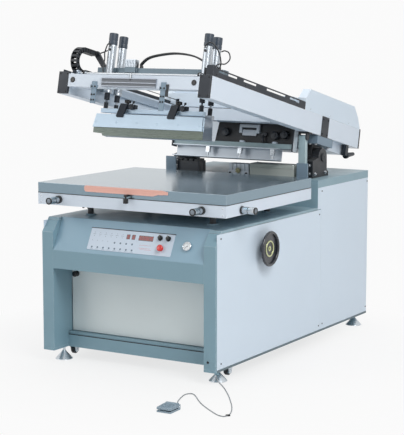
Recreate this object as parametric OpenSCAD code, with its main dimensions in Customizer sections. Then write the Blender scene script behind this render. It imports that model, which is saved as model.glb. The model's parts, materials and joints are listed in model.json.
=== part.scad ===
// Flatbed screen printer: a cabinet on four feet, a lifting vacuum table, and a head on two tilting arms.
// Built in machine coordinates: x = 0 on the mid-plane, y = 0 on the cabinet front, z = 0 on the floor.
// The head is drawn level and then raised about the pivot shaft.

/* [Cabinet] */
// Width over the corner legs
cabinet_w = 925; // [905:1:945]
// Length from the front legs to the back panel
cabinet_l = 1547; // [1530:1:1600]
// Height of the base tray above the floor
tray_z = 57; // [54:1:64]
// Thickness of the base tray at its rim
tray_t = 11; // [8:1:14]
// Width of a corner leg
leg_w = 60; // [50:1:64]
// Depth of the front legs, from the front to the kick plate between them
leg_l = 112; // [100:1:120]
// Top of the front deck
deck_z = 673; // [668:1:680]
// Depth of the folded edge of the front deck
deck_t = 12; // [8:1:14]
// Top of the rear deck
rear_deck_z = 805; // [795:1:812]
// Depth of the folded edge of the rear deck
rear_edge = 37; // [30:1:45]
// Front face of the rear box
riser_y = 971; // [966:1:976]
// Thickness of the sheet metal
sheet = 2; // [1.5:0.1:2.5]
// Diameter of a levelling foot
foot_d = 82; // [60:1:84]
// Diameter of a transport roller
roller_d = 41; // [36:1:42]

/* [Console] */
// Underside of the console
console_z = 444; // [440:1:455]
// Height of the crease between the upright face and the slope
crease_z = 527; // [500:1:550]
// Distance that the slope leans back
console_depth = 76; // [70:1:85]
// Front face of the recessed door
door_y = 146; // [140:1:155]
// Thickness of the door
door_t = 18; // [16:1:22]
// Width of the white control overlay
overlay_w = 446; // [420:1:460]
// Height of the white control overlay up the slope
overlay_h = 103; // [95:1:110]
// Diameter of the gauge bezel
gauge_d = 43; // [38:1:50]
// Diameter of the stop button's head
stop_d = 30; // [26:1:36]

/* [Table] */
// Width of the table
table_w = 1000; // [980:1:1020]
// Length of the table
table_l = 800; // [760:1:815]
// Front edge of the table
table_y = 24; // [20:1:30]
// Top of the table at the top of its lift
table_top = 833.4; // [830:0.1:835]
// Thickness of the table plate
table_t = 48; // [40:1:50]
// Height of the table frame
frame_h = 52; // [50:1:54]
// Diameter of a guide column
column_d = 28; // [24:1:32]
// Half the distance between the left and right columns
column_x = 330; // [300:1:345]
// Distance of the front columns from the table's front edge
column_front = 176; // [160:1:200]
// Distance between the front and rear columns
column_pitch = 500; // [440:1:520]
// Diameter of the handwheel
handwheel_d = 162; // [140:1:180]
// Height of the handwheel shaft
handwheel_z = 550; // [545:1:552]
// Distance of the handwheel shaft from the cabinet front
handwheel_y = 421; // [400:1:440]
// Diameter of the lift screw
screw_d = 20; // [16:1:22]
// Diameter of the knobs on the table frame
table_knob_d = 32; // [28:1:36]

/* [Head] */
// Distance of the pivot shaft from the cabinet front
pivot_y = 1148; // [1140:1:1155]
// Height of the pivot shaft
pivot_z = 900; // [896:1:904]
// Angle that the head is raised
head_tilt = 12.3; // [8:0.1:12.5]
// Diameter of the pivot shaft
pivot_d = 40; // [30:1:44]
// Distance from the mid-plane to the inner face of an arm
arm_x = 345; // [340:1:350]
// Width of an arm
arm_w = 55; // [50:1:58]
// Height of an arm
arm_h = 98; // [96:1:102]
// Underside of a level arm
arm_z = 1000; // [997:1:1004]
// Front end of the arms
arm_y = -4; // [-10:1:0]
// Length of the arms
arm_l = 1555; // [1540:1:1565]
// Thickness of the dark end caps
cap_t = 14; // [8:1:18]
// Height of the slotted trough on an arm
trough_h = 38; // [36:1:42]
// Length of the slotted trough
trough_l = 876; // [860:1:876]
// Height of the cover over the rear of the arms
cover_h = 106; // [95:1:115]
// Height of the front cross beam
beam_h = 58; // [50:1:60]
// Depth of the front cross beam
beam_t = 50; // [40:1:54]
// Width of the screen clamp channel
channel_w = 600; // [570:1:600]
// Height of the screen clamp channel
channel_h = 59; // [50:1:60]

/* [Carriage] */
// Distance of the front cylinders from the cabinet front
front_row_y = 186; // [184:1:186]
// Distance of the rear cylinders from the cabinet front
rear_row_y = 266; // [266:1:268]
// Distance of the cylinders from the mid-plane
cylinder_x = 256; // [240:1:262]
// Diameter of a cylinder body
cylinder_d = 39; // [33:1:39]
// Top of a cylinder cap
cylinder_top = 1315; // [1305:1:1330]
// Diameter of a piston rod
rod_d = 10; // [8:1:12]
// Width of the squeegee and its clamp
squeegee_w = 580; // [560:1:600]
// Thickness of the squeegee blade
blade_t = 10; // [8:1:12]
// Visible depth of the squeegee blade
blade_h = 38; // [36:1:38]
// Diameter of a star knob
star_d = 30; // [26:1:34]
// Radius of the energy chain's bend, at its outer face
chain_r = 64; // [60:1:64]
// Width of the energy chain
chain_w = 35; // [30:1:38]
// Diameter of a drive pulley
pulley_d = 24; // [22:1:24]

/* [Pedal] */
// Width of the foot pedal
pedal_w = 66; // [60:1:80]
// Length of the foot pedal
pedal_l = 80; // [74:1:90]
// Diameter of the pedal cord
cord_d = 5; // [4:0.5:6]

/* [Hidden] */
$fn = 48;

// Clearances
run = 0.05;
gap = 0.3;
past = 1;

// Cabinet
half_w = cabinet_w / 2;
leg_x = half_w - leg_w;
tray_top = tray_z + tray_t;
deck_under = deck_z - deck_t;
panel_x = half_w - sheet;
foot_x = half_w - 44.5;
foot_y = 97;
foot_h = tray_z;
stud_r = 8;
chamfer_y = 42;
chamfer_z = deck_under - 51;
mid_post_y = riser_y + 4;
mid_post_l = 55;
rear_post_y = cabinet_l - leg_w - sheet;
rail_h = 15;
lift_box = 72;
rail_top = handwheel_z - lift_box / 2 - 14;
roller_y = 160;
roller_z = 35;
roller_w = 18;
roller_left_x = -402;
roller_right_x = foot_x + 12;
axle_r = 4;
cheek_t = 4;
kick_y = leg_l;
kick_back = door_y + door_t + 16;
kick_top = 127;
lip_h = 14;
lip_back = 6;
pocket_y = 240;
shelf_z = 640;
shelf_t = 6;
post_t = 3;

// Corner plates on the rear deck
plate_t = 8;
plate_h = 79;

// Units on the rear deck: left side, width, distance behind the riser, length, height
valve_unit = [-46, 118, 14, 60, 58];
side_unit = [-200, 12, 14, 16, 60];
plug_unit = [-350, 130, 19, 70, 68];
junction_unit = [80, 245, 9, 75, 65];

// Units in the cabinet
power_x = -350;
power_y = 620;
power_w = 290;
power_l = 280;
power_h = 292;
blower_x = 60;
blower_l = 180;
blower_y = 1260;
blower_z = 210;
blower_r = 120;
blower_t = 8;

// Console
slope_angle = atan2(deck_z - crease_z, console_depth);
overlay_t = 3;
overlay_v = 21;
overlay_x = 4;
selector_x = 155;
selector_pitch = 42;
selector_v = 102;
stop_x = 171;
stop_v = 54;
gauge_x = 302;
gauge_v = 75;
gauge_rise = 12;
hinge_x = leg_x - 11.5;
hinge_y = door_y + door_t / 2;
hinge_r = 4;
door_low = kick_top + 3;
door_high = console_z - 3;
knob_x = -(leg_x - 29.5);
knob_z = 400;

// Handwheel: reach of its rim's middle from the cabinet, and depth of its dished web
wheel_reach = 38;
rim_r = 7;
web_drop = 9;
wheel_ring_r = 38;

// Table
frame_z = table_top - table_t - gap - frame_h;
plate_z = table_top - table_t;
column_y = table_y + column_front;
platform_z = 625;
platform_t = 8;
wall = 12;
rim_w = 30;
table_skin = 8;
floor_t = 4;

// Slides: the lower one moves along x, the upper one along y
slide_y = table_y + 116;
slide_l = 580;
slide_x = 380;
guide_x = 240;
guide_w = 40;
guide_h = 6;
upper_y = slide_y + 20;
upper_l = slide_l - 40;
upper_x = slide_x - 20;
upper_t = 10;
pad_x = 250;
pad_r = 30;
pad_in = 90;
pad_pitch = 350;
yoke_y = table_y + 76;
yoke_l = 28;
x_slide_z = frame_z + 8 + gap;
slide_t = 8;
y_slide_z = x_slide_z + slide_t + guide_h + gap;
spindle_r = 5;
x_spindle_y = slide_y + 15;
x_spindle_z = frame_z + 22;
y_spindle_x = 380;
y_spindle_z = frame_z + 27;

// Head
arm_out = arm_x + arm_w;
arm_top = arm_z + arm_h;
arm_back = arm_y + arm_l;
trough_y = arm_y + 30;
trough_top = arm_top + trough_h;
low_trough_h = 16;
tongue_w = 34;
beam_z = arm_z + 32;
rear_beam_y = 860;
rear_beam_l = 60;
rear_beam_z = arm_z + 24;
rail_z = arm_z + 55;
rail_h2 = 33;
rail_t = 12;
bulkhead_y = 992;
bulkhead_low = arm_z - 70;
drive_tray_y = pivot_y + 108;
drive_tray_l = 190;
drive_tray_h = 50;
cover_front = trough_y + trough_l;
cover_back = arm_back - cap_t;
lid_h = 57;
fairing_w = 42;
lug_in = arm_x - 27;
lug_w = 40;
housing_in = arm_x + 15;
housing_r = pivot_d / 2 + 25;
housing_front = 108;
housing_back = 62;
housing_foot = 25;
housing_shoulder = 85;
channel_y = 925;
channel_l = 50;
channel_wall = 5;
channel_x = -36;
clamp_x = [-132, 50, 232];
channel_top = arm_z - 93;
carrier_h = 23;
shaft_y = 905;
shaft_z = arm_top + 7;
shaft_r = 8;
idler_y = 62;
idler_r = 5;
pulley_x = 299;
pulley_w = 10;
belt_t = 2;

// Arm lift: a crank in the rear box and a strut up to the right arm
strut_x = arm_x - 3;
strut_w = 38;
strut_t = 24;
pin_r = 8;
strut_rest_y = 1006;
pin_drop = 25;
pin_level_z = arm_z - pin_drop;
pin_level_y = pivot_y
    + (strut_rest_y - pivot_y - (pin_level_z - pivot_z) * sin(head_tilt)) / cos(head_tilt);
pin_rest_z = pivot_z + (pivot_y - pin_level_y) * sin(head_tilt) + (pin_level_z - pivot_z) * cos(head_tilt);
crank_z = 696;
crank_throw = 16;
yoke_z = crank_z + crank_throw;

// Carriage
beam_y = front_row_y + 20;
carriage_t = 40;
carriage_z = arm_z + 131;
carriage_h = 28;
shoe_y = beam_y - 30;
shoe_l = 100;
valve_x = -179;
valve_w = 56;
valve_l = 28;
valve_h = 64;
rod_r = rod_d / 2;
body_r = cylinder_d / 2;
body_z = 1045;
cap_z = cylinder_top - 55;
holder_z = 945;
holder_h = 20;
carrier_top = 985;
hook_x = [-165, 108];
hook_w = 37;
carrier_w = 78;
flood_z = 940;
blade_z = 836;
clamp_z = blade_z + blade_h;
clamp_h = 62;
squeegee_y = front_row_y - 25;
star_x = 137;
chain_x = arm_x + 27.5;
chain_t = 23;
chain_y = 119;
chain_run = 387;
chain_z = arm_top + 8 + chain_r;

// Pedal
pedal_x = 497.5;
pedal_y = -435;
pedal_turn = 2;
pedal_back = 24;

// Cord route on the floor, from the pedal to the gland under the tray
cord_route = [[507, -397, 9], [506, -384, 8], [500, -368, 5], [489, -349, 3], [475, -329, 3],
    [461, -305, 3], [447, -272, 3], [436, -237, 3], [427, -204, 3], [427, -180, 3], [438, -166, 3],
    [455, -170, 3], [480, -194, 3], [521, -241, 3], [566, -288, 3], [611, -327, 3], [662, -367, 3],
    [705, -397, 3], [735, -405, 3], [746, -384, 3], [731, -332, 3], [697, -267, 3], [656, -204, 3],
    [595, -117, 3], [533, -37, 3], [498, 4, 3], [476, 25, 5], [461, 31, 12], [452, 31, 24],
    [450, 30, 35], [450, 30, 45]];
gland = [450, 30, 45];
cord_steps = 3;
cord_sides = 8;

// Origin: the middle of the footprint without the cord
knob_reach = 73;
origin_x = knob_reach / 2;
head_back = pivot_y + (arm_back - pivot_y) * cos(head_tilt) + (arm_top + 2 - pivot_z) * sin(head_tilt);
pedal_front = pedal_y - (pedal_l / 2) * cos(pedal_turn) - (pedal_w / 2) * abs(sin(pedal_turn));
origin_y = (head_back + pedal_front) / 2;

// Helpers
module machine() translate([-origin_x, -origin_y, 0]) children();

module head() machine() translate([0, pivot_y, pivot_z]) rotate([-head_tilt, 0, 0])
    translate([0, -pivot_y, -pivot_z]) children();

module pair() { children(); mirror([1, 0, 0]) children(); }

module block(x0, x1, y0, y1, z0, z1) translate([x0, y0, z0]) cube([x1 - x0, y1 - y0, z1 - z0]);

module xrod(x0, x1, y, z, r) translate([x0, y, z]) rotate([0, 90, 0]) cylinder(h = x1 - x0, r = r);

module yrod(x, y0, y1, z, r) translate([x, y1, z]) rotate([90, 0, 0]) cylinder(h = y1 - y0, r = r);

module zrod(x, y, z0, z1, r) translate([x, y, z0]) cylinder(h = z1 - z0, r = r);

// A profile of [y, z] points carried along x
module xprism(x0, x1, points) translate([x0, 0, 0]) rotate([90, 0, 90])
    linear_extrude(height = x1 - x0) polygon(points);

// A profile of [x, z] points carried along y
module yprism(y0, y1, points) translate([0, y1, 0]) rotate([90, 0, 0])
    linear_extrude(height = y1 - y0) polygon(points);

// A place on the console slope: x across, v up from the crease, z outwards
module on_slope(x, v) translate([x, v * cos(slope_angle), crease_z + v * sin(slope_angle)])
    rotate([slope_angle, 0, 0]) children();

module at_pedal() translate([pedal_x, pedal_y, 0]) rotate([0, 0, pedal_turn]) children();

module at_feet() for (y = [foot_y, cabinet_l - 57]) pair() translate([foot_x, y, 0]) children();

module at_columns() for (y = [column_y, column_y + column_pitch]) pair() translate([column_x, y, 0])
    children();

// Smooth route through hand-set points, and a round tube along it
function unit(v) = v / norm(v);
function blend(a, b, c, d, t) = 0.5 * (2 * b + (c - a) * t + (2 * a - 5 * b + 4 * c - d) * t * t
    + (3 * b - a - 3 * c + d) * t * t * t);
function smooth(p, k) = concat([for (i = [0 : len(p) - 2], j = [0 : k - 1])
    blend(p[max(i - 1, 0)], p[i], p[i + 1], p[min(i + 2, len(p) - 1)], j / k)], [p[len(p) - 1]]);
function headings(p) = [for (i = [0 : len(p) - 1]) unit(p[min(i + 1, len(p) - 1)] - p[max(i - 1, 0)])];
function carried(t, n, i) = i == len(t) ? [] : let (m = unit(n - (n * t[i]) * t[i]))
    concat([m], carried(t, m, i + 1));

module tube(path, r, sides) {
    t = headings(path);
    n = carried(t, [0.3, 0.2, 1], 0);
    rings = len(path);
    points = [for (i = [0 : rings - 1], j = [0 : sides - 1])
        path[i] + r * (cos(360 * j / sides) * n[i] + sin(360 * j / sides) * cross(t[i], n[i]))];
    walls = [for (i = [0 : rings - 2], j = [0 : sides - 1])
        let (k = (j + 1) % sides) [i * sides + j, (i + 1) * sides + j, (i + 1) * sides + k, i * sides + k]];
    start = [for (j = [0 : sides - 1]) j];
    end = [for (j = [0 : sides - 1]) rings * sides - 1 - j];
    polyhedron(points, concat([start, end], walls), convexity = 6);
}

// Cabinet
module base_tray() color([0.42, 0.50, 0.58]) machine() difference() {
    union() {
        difference() {
            block(-half_w, half_w, 0, cabinet_l, tray_z, tray_top);
            block(-half_w + 30, half_w - 30, pocket_y, cabinet_l - 160, tray_z - past, tray_top - 3);
            block(-leg_x, leg_x, -past, kick_y, tray_z - past, tray_top + past);
        }
        for (x = [roller_left_x, roller_right_x]) translate([x, 0, 0]) {
            for (side = [-1, 1]) translate([side * (roller_w / 2 + gap + cheek_t / 2), 0, 0])
                block(-cheek_t / 2, cheek_t / 2, roller_y - 12, roller_y + 12, roller_z - 9, tray_z + past);
            xrod(-roller_w / 2 - gap - cheek_t, roller_w / 2 + gap + cheek_t, roller_y, roller_z, axle_r);
        }
        zrod(gland[0], gland[1], gland[2], tray_z + past, 9);
    }
    at_feet() zrod(0, 0, tray_z - past, tray_top + past, stud_r);
}

// A square post of folded sheet, open at its ends
module post(y, l, top) difference() {
    block(leg_x, panel_x, y, y + l, tray_top, top);
    block(leg_x + post_t, panel_x - post_t, y + post_t, y + l - post_t, tray_top - past, top + past);
}

module front_leg() {
    difference() {
        union() {
            block(panel_x - past, half_w, 0, 12, tray_top, deck_under);
            post(0, leg_l, deck_under);
        }
        xprism(leg_x - past, half_w + past, [[-past, chamfer_z - past * 51 / chamfer_y], [-past, deck_z],
            [chamfer_y, deck_z], [chamfer_y, deck_under]]);
    }
    xprism(leg_x, panel_x, [[0, chamfer_z], [chamfer_y, deck_under], [chamfer_y, deck_under - 2 * post_t],
        [0, chamfer_z - 2 * post_t]]);
}

module frame_posts() color([0.45, 0.56, 0.63]) machine() {
    pair() front_leg();
    pair() post(mid_post_y, mid_post_l, rear_deck_z - sheet);
    pair() post(rear_post_y, leg_w, rear_deck_z - sheet);
    block(-leg_x - 9, -leg_x, kick_y, hinge_y + 9.5, knob_z - 15, knob_z + 15);
}

module frame_rails() color([0.42, 0.52, 0.60]) machine() {
    pair() block(leg_x + 15, panel_x, kick_y, mid_post_y, rail_top - rail_h, rail_top);
    block(-leg_x - 15, leg_x + 15, handwheel_y - 30, handwheel_y + 30, rail_top - rail_h, rail_top);
    block(-leg_x, leg_x, mid_post_y, rear_post_y + 20, shelf_z, shelf_z + shelf_t);
    difference() {
        union() {
            xprism(-leg_x - 35, leg_x + 35, [[kick_y, tray_top], [kick_y, kick_top - lip_h],
                [kick_y + lip_back, kick_top - lip_h], [kick_y + lip_back, kick_top], [kick_back, kick_top],
                [kick_back, kick_top - 3], [kick_y + lip_back + 3, kick_top - 3],
                [kick_y + lip_back + 3, kick_top - lip_h - 3], [kick_y + 3, kick_top - lip_h - 3],
                [kick_y + 3, tray_top]]);
            block(hinge_x - 12, hinge_x + 12, hinge_y - 12, hinge_y + 12, kick_top - 16, kick_top);
        }
        zrod(hinge_x, hinge_y, kick_top - 16 - past, kick_top + past, hinge_r + run);
    }
}

module front_deck() color([0.50, 0.60, 0.67]) machine() difference() {
    union() {
        difference() {
            xprism(-half_w, half_w, [[chamfer_y, deck_under], [chamfer_y + 10, deck_z], [riser_y, deck_z],
                [riser_y, deck_under]]);
            block(-leg_x + 10, leg_x - 10, console_depth + 30, riser_y - 20, deck_under - past, deck_z - 3);
            block(-leg_x, leg_x, 0, console_depth, deck_under - past, deck_z + past);
        }
        at_columns() {
            zrod(0, 0, deck_under - 12, deck_z, column_d / 2 + 8);
            zrod(0, 0, deck_z, deck_z + 6, column_d / 2 + 12);
        }
    }
    at_columns() zrod(0, 0, deck_under - 13, deck_z + 7, column_d / 2 + run);
}

module rear_deck() color([0.50, 0.60, 0.67]) machine() difference() {
    union() {
        block(-half_w, half_w, riser_y, cabinet_l, rear_deck_z - sheet, rear_deck_z);
        block(-half_w, half_w, riser_y, riser_y + sheet, deck_z, rear_deck_z);
        pair() block(panel_x, half_w, riser_y, cabinet_l, rear_deck_z - rear_edge, rear_deck_z);
        block(-half_w, half_w, cabinet_l - sheet, cabinet_l, rear_deck_z - rear_edge, rear_deck_z);
    }
    block(strut_x - 7, strut_x + strut_w + 7, riser_y + 3, strut_rest_y + 20, rear_deck_z - 5,
        rear_deck_z + past);
}

module console_box() color([0.52, 0.62, 0.69]) machine() difference() {
    union() {
        xprism(-leg_x, leg_x, [[0, console_z], [0, crease_z], [console_depth, deck_z],
            [console_depth, deck_z - sheet / cos(slope_angle)], [sheet, crease_z - 0.5],
            [sheet, console_z + sheet], [kick_back, console_z + sheet], [kick_back, console_z]]);
        block(hinge_x - 12, hinge_x + 11, hinge_y - 12, hinge_y + 12, console_z, console_z + 14);
    }
    zrod(hinge_x, hinge_y, console_z - past, console_z + 15, hinge_r + run);
    for (i = [0, 1]) on_slope(selector_x + i * selector_pitch, selector_v) zrod(0, 0, -5, 5, 4 + run);
    on_slope(stop_x, stop_v) zrod(0, 0, -5, 5, 6 + run);
    on_slope(gauge_x, gauge_v) zrod(0, 0, -5, 5, gauge_d / 2 - 4);
}

module cabinet_panels() color([0.86, 0.90, 0.94]) machine() {
    seam = mid_post_y + 33;
    difference() {
        pair() block(panel_x, half_w, 12, seam - 1, tray_top, deck_under - past);
        xrod(panel_x - past, half_w + past, handwheel_y, handwheel_z, 12);
    }
    pair() {
        block(panel_x, half_w, seam + 1, cabinet_l, tray_top, deck_under + 5);
        block(panel_x, half_w, riser_y + sheet, cabinet_l, deck_under + 3, rear_deck_z - rear_edge);
    }
    difference() {
        block(-panel_x, panel_x, cabinet_l - sheet, cabinet_l, tray_top, rear_deck_z - rear_edge);
        for (i = [0 : 9]) block(-120, 120, cabinet_l - 5, cabinet_l + past, 220 + i * 14, 226 + i * 14);
    }
}

module levelling_feet() color([0.80, 0.82, 0.84]) machine() at_feet() {
    cylinder(h = 3, r = foot_d / 2);
    translate([0, 0, 3]) cylinder(h = foot_h - 18, r1 = foot_d / 2, r2 = 6.5);
    zrod(0, 0, foot_h - 15, foot_h - 6, 6.5);
    translate([0, 0, foot_h - 6]) cylinder(h = 6, r = 10, $fn = 6);
    zrod(0, 0, foot_h, tray_top, stud_r);
}

module control_overlay() color([0.93, 0.94, 0.93]) machine() difference() {
    union() {
        on_slope(overlay_x, overlay_v) block(-overlay_w / 2, overlay_w / 2, 0, overlay_h, 0, overlay_t);
        on_slope(stop_x, stop_v) zrod(0, 0, 0, 9, 11);
    }
    for (i = [0, 1]) on_slope(selector_x + i * selector_pitch, selector_v) zrod(0, 0, -1, 5, 5);
    on_slope(stop_x, stop_v) zrod(0, 0, -1, 10, 6 + run);
}

module gauge_case() color([0.30, 0.32, 0.34]) machine() on_slope(gauge_x, gauge_v) difference() {
    union() {
        zrod(0, 0, 0, gauge_rise, gauge_d / 2);
        zrod(0, 0, -22, 0, gauge_d / 2 - 4);
    }
    zrod(0, 0, gauge_rise / 2, gauge_rise + past, gauge_d / 2 - 3);
    zrod(0, 0, gauge_rise / 2 - 4, gauge_rise, 1.5 + run);
}

module bearing_housings() color([0.12, 0.13, 0.15]) machine() pair() difference() {
    front = pivot_y - housing_front;
    back = pivot_y + housing_back;
    low = rear_deck_z + housing_foot;
    union() {
        xprism(housing_in, arm_out, [[front, rear_deck_z], [front, rear_deck_z + housing_shoulder],
            [pivot_y - housing_r, pivot_z], [pivot_y + housing_r, pivot_z],
            [pivot_y + housing_r + 1, low], [back, low], [back, rear_deck_z]]);
        xrod(housing_in, arm_out, pivot_y, pivot_z, housing_r);
    }
    xrod(housing_in - past, arm_out + past, pivot_y, pivot_z, pivot_d / 2 + run);
}

module deck_units() color([0.62, 0.68, 0.70]) machine() {
    pair() block(arm_x, arm_out + 5, riser_y, riser_y + plate_t, rear_deck_z, rear_deck_z + plate_h);
    for (u = [valve_unit, side_unit, plug_unit, junction_unit])
        block(u[0], u[0] + u[1], riser_y + u[2], riser_y + u[2] + u[3], rear_deck_z, rear_deck_z + u[4]);
}

module lift_gearmotor() color([0.25, 0.27, 0.30]) machine() difference() {
    union() {
        xrod(140, strut_x - 20, strut_rest_y, crank_z, 32);
        block(170, strut_x - 24, strut_rest_y - 26, strut_rest_y + 30, shelf_z + shelf_t, crank_z);
    }
    xrod(strut_x - 50, strut_x, strut_rest_y, crank_z, 10 + run);
}

module cabinet_units() color([0.55, 0.57, 0.58]) machine() {
    top = tray_top + power_h;
    end = blower_x + blower_l;
    difference() {
        block(power_x, power_x + power_w, power_y, power_y + power_l, tray_top, top);
        block(power_x + sheet, power_x + power_w - sheet, power_y + sheet, power_y + power_l - sheet,
            tray_top - past, top - sheet);
    }
    difference() {
        union() {
            xrod(blower_x, end, blower_y, blower_z, blower_r);
            block(blower_x + 20, end - 20, blower_y - 80, blower_y + 80, tray_top, blower_z - 60);
        }
        xrod(blower_x + blower_t, end - blower_t, blower_y, blower_z, blower_r - blower_t);
        xrod(end - 2 * blower_t, end + past, blower_y, blower_z, 35);
    }
    zrod(blower_x + blower_l / 2, blower_y + 160, tray_top, blower_z + blower_r, 32);
}

module lift_gearbox() color([0.40, 0.42, 0.45]) machine() {
    h = lift_box / 2;
    difference() {
        block(-h, h, handwheel_y - h, handwheel_y + h, rail_top, handwheel_z + h);
        block(-h + 8, h - 8, handwheel_y - h + 8, handwheel_y + h - 8,
            handwheel_z - h + 4, handwheel_z + h - 8);
        xrod(0, h + past, handwheel_y, handwheel_z, 8 + run);
        zrod(0, handwheel_y, handwheel_z, handwheel_z + h + past, screw_d / 2 + run);
    }
    difference() {
        xrod(half_w, half_w + 5, handwheel_y, handwheel_z, 26);
        xrod(half_w - past, half_w + 6, handwheel_y, handwheel_z, 8 + run);
    }
}

// Foot pedal
module pedal_base() color([0.55, 0.63, 0.70]) machine() at_pedal() difference() {
    hinge = pedal_l / 2 - 10;
    union() {
        block(-pedal_w / 2, pedal_w / 2, -pedal_l / 2, pedal_l / 2, 0, 7);
        pair() block(pedal_w / 2 - 4, pedal_w / 2, hinge - 8, pedal_l / 2, 0, pedal_back - 2);
        xrod(-pedal_w / 2, pedal_w / 2, hinge, 14, 3);
        block(-pedal_w / 2, pedal_w / 2, pedal_l / 2 - 3, pedal_l / 2, 0, pedal_back - 2);
    }
}

module pedal_treadle() color([0.62, 0.70, 0.77]) machine() at_pedal() difference() {
    hinge = pedal_l / 2 - 10;
    union() {
        xprism(-pedal_w / 2 + 4 + gap, pedal_w / 2 - 4 - gap, [[-pedal_l / 2, 12], [-pedal_l / 2, 19],
            [-pedal_l / 2 + 3, 21], [hinge + 4, pedal_back + 4], [hinge + 6, pedal_back + 2],
            [hinge + 6, 9], [hinge - 5, 9], [hinge - 8, 12]]);
        xprism(-pedal_w / 2, pedal_w / 2, [[-pedal_l / 2, 12], [-pedal_l / 2, 19], [-pedal_l / 2 + 3, 21],
            [hinge - 10, pedal_back], [hinge - 10, 12]]);
    }
    xrod(-pedal_w, pedal_w, hinge, 14, 3 + run);
}

module pedal_cord() color([0.62, 0.64, 0.66]) machine()
    tube(smooth(cord_route, cord_steps), cord_d / 2, cord_sides);

// Door, rollers and controls
module front_door() color([0.80, 0.84, 0.88]) machine() difference() {
    union() {
        difference() {
            block(-leg_x + 2.5, leg_x - 4.5, door_y, door_y + door_t, door_low, door_high);
            block(-leg_x + 6, hinge_x - 14, door_y + sheet, door_y + door_t + past,
                door_low + 4, door_high - 4);
        }
        yrod(knob_x, door_y, door_y + door_t, knob_z, 14);
        zrod(hinge_x, hinge_y, kick_top - 14, door_low, hinge_r);
        zrod(hinge_x, hinge_y, door_high, console_z + 12, hinge_r);
    }
    yrod(knob_x, door_y - past, door_y + door_t + past, knob_z, 6 + run);
}

module door_knob() color([0.10, 0.10, 0.11]) machine() {
    yrod(knob_x, door_y - 26, door_y - gap, knob_z, 13.5);
    yrod(knob_x, door_y - gap, door_y + door_t + 6, knob_z, 6);
    block(knob_x - 6, knob_x + 6, door_y + door_t + 1, door_y + door_t + 6, knob_z, knob_z + 32);
}

module roller(x) color([0.22, 0.23, 0.25]) machine() difference() {
    xrod(x - roller_w / 2, x + roller_w / 2, roller_y, roller_z, roller_d / 2);
    xrod(x - roller_w, x + roller_w, roller_y, roller_z, axle_r + run);
}

module roller_left() roller(roller_left_x);

module roller_right() roller(roller_right_x);

module selector(x) color([0.08, 0.08, 0.09]) machine() on_slope(x, selector_v) {
    zrod(0, 0, overlay_t + gap, overlay_t + 6, 12);
    zrod(0, 0, overlay_t + 6, overlay_t + 16, 9);
    block(-2.5, 2.5, -11.5, 11.5, overlay_t + 6, overlay_t + 17);
    zrod(0, 0, -14, overlay_t + gap, 4);
}

module selector_left() selector(selector_x);

module selector_right() selector(selector_x + selector_pitch);

module stop_button() color([0.82, 0.10, 0.10]) machine() on_slope(stop_x, stop_v) {
    zrod(0, 0, 14, 19, stop_d / 2);
    translate([0, 0, 19]) cylinder(h = 4, r1 = stop_d / 2, r2 = stop_d / 2 - 5);
    zrod(0, 0, -14, 14, 6);
}

module gauge_needle() color([0.1, 0.1, 0.1]) machine() on_slope(gauge_x, gauge_v) {
    zrod(0, 0, gauge_rise / 2 - 3, gauge_rise / 2 + 3, 1.5);
    rotate([0, 0, 135]) block(-0.9, 0.9, -4, gauge_d / 2 - 6, gauge_rise / 2 + 1.5, gauge_rise / 2 + 2.5);
}

// Table lift
module handwheel() color([0.16, 0.17, 0.19]) machine() {
    x = half_w + wheel_reach;
    translate([x, handwheel_y, handwheel_z]) rotate([0, 90, 0])
        rotate_extrude() translate([handwheel_d / 2 - rim_r, 0]) circle(r = rim_r);
    difference() {
        union() {
            xrod(x - web_drop, x - web_drop + 5, handwheel_y, handwheel_z, handwheel_d / 2 - rim_r);
            xrod(x - web_drop, x, handwheel_y, handwheel_z, wheel_ring_r);
        }
        xrod(x - web_drop + 5, x + past, handwheel_y, handwheel_z, wheel_ring_r - 8);
    }
    xrod(half_w + 7, x - web_drop + past, handwheel_y, handwheel_z, 20);
    xrod(20, half_w + 8, handwheel_y, handwheel_z, 8);
    translate([8, handwheel_y, handwheel_z]) rotate([0, 90, 0]) cylinder(h = 14, r1 = 7.6, r2 = 21.6);
}

module lift_screw() color([0.70, 0.71, 0.73]) machine() translate([0, handwheel_y, handwheel_z]) {
    translate([0, 0, 8]) cylinder(h = 14, r1 = 7.6, r2 = 21.6);
    zrod(0, 0, 20, 105, screw_d / 2);
}

module lift_platform() color([0.30, 0.32, 0.35]) machine() difference() {
    union() {
        block(-column_x - 40, column_x + 40, column_y - 40, column_y + column_pitch + 40, platform_z,
            platform_z + platform_t);
        at_columns() zrod(0, 0, platform_z, frame_z, column_d / 2);
        zrod(0, handwheel_y, platform_z - 5, platform_z + 25, screw_d / 2 + 10);
    }
    zrod(0, handwheel_y, platform_z - 6, platform_z + 26, screw_d / 2 + run);
}

module table_frame() color([0.90, 0.92, 0.94]) machine() difference() {
    x = table_w / 2;
    union() {
        difference() {
            block(-x, x, table_y, table_y + table_l, frame_z, frame_z + frame_h);
            block(-x + wall, x - wall, table_y + wall, table_y + table_l - wall, frame_z + floor_t,
                frame_z + frame_h + past);
        }
        for (y = [column_y, column_y + column_pitch - 40])
            block(-400, 400, y, y + 40, frame_z, frame_z + 8);
    }
    xrod(x - wall - past, x + past, x_spindle_y, x_spindle_z, spindle_r + run);
    for (s = [-1, 1])
        yrod(s * y_spindle_x, table_y - past, table_y + wall + past, y_spindle_z, spindle_r + run);
}

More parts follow.
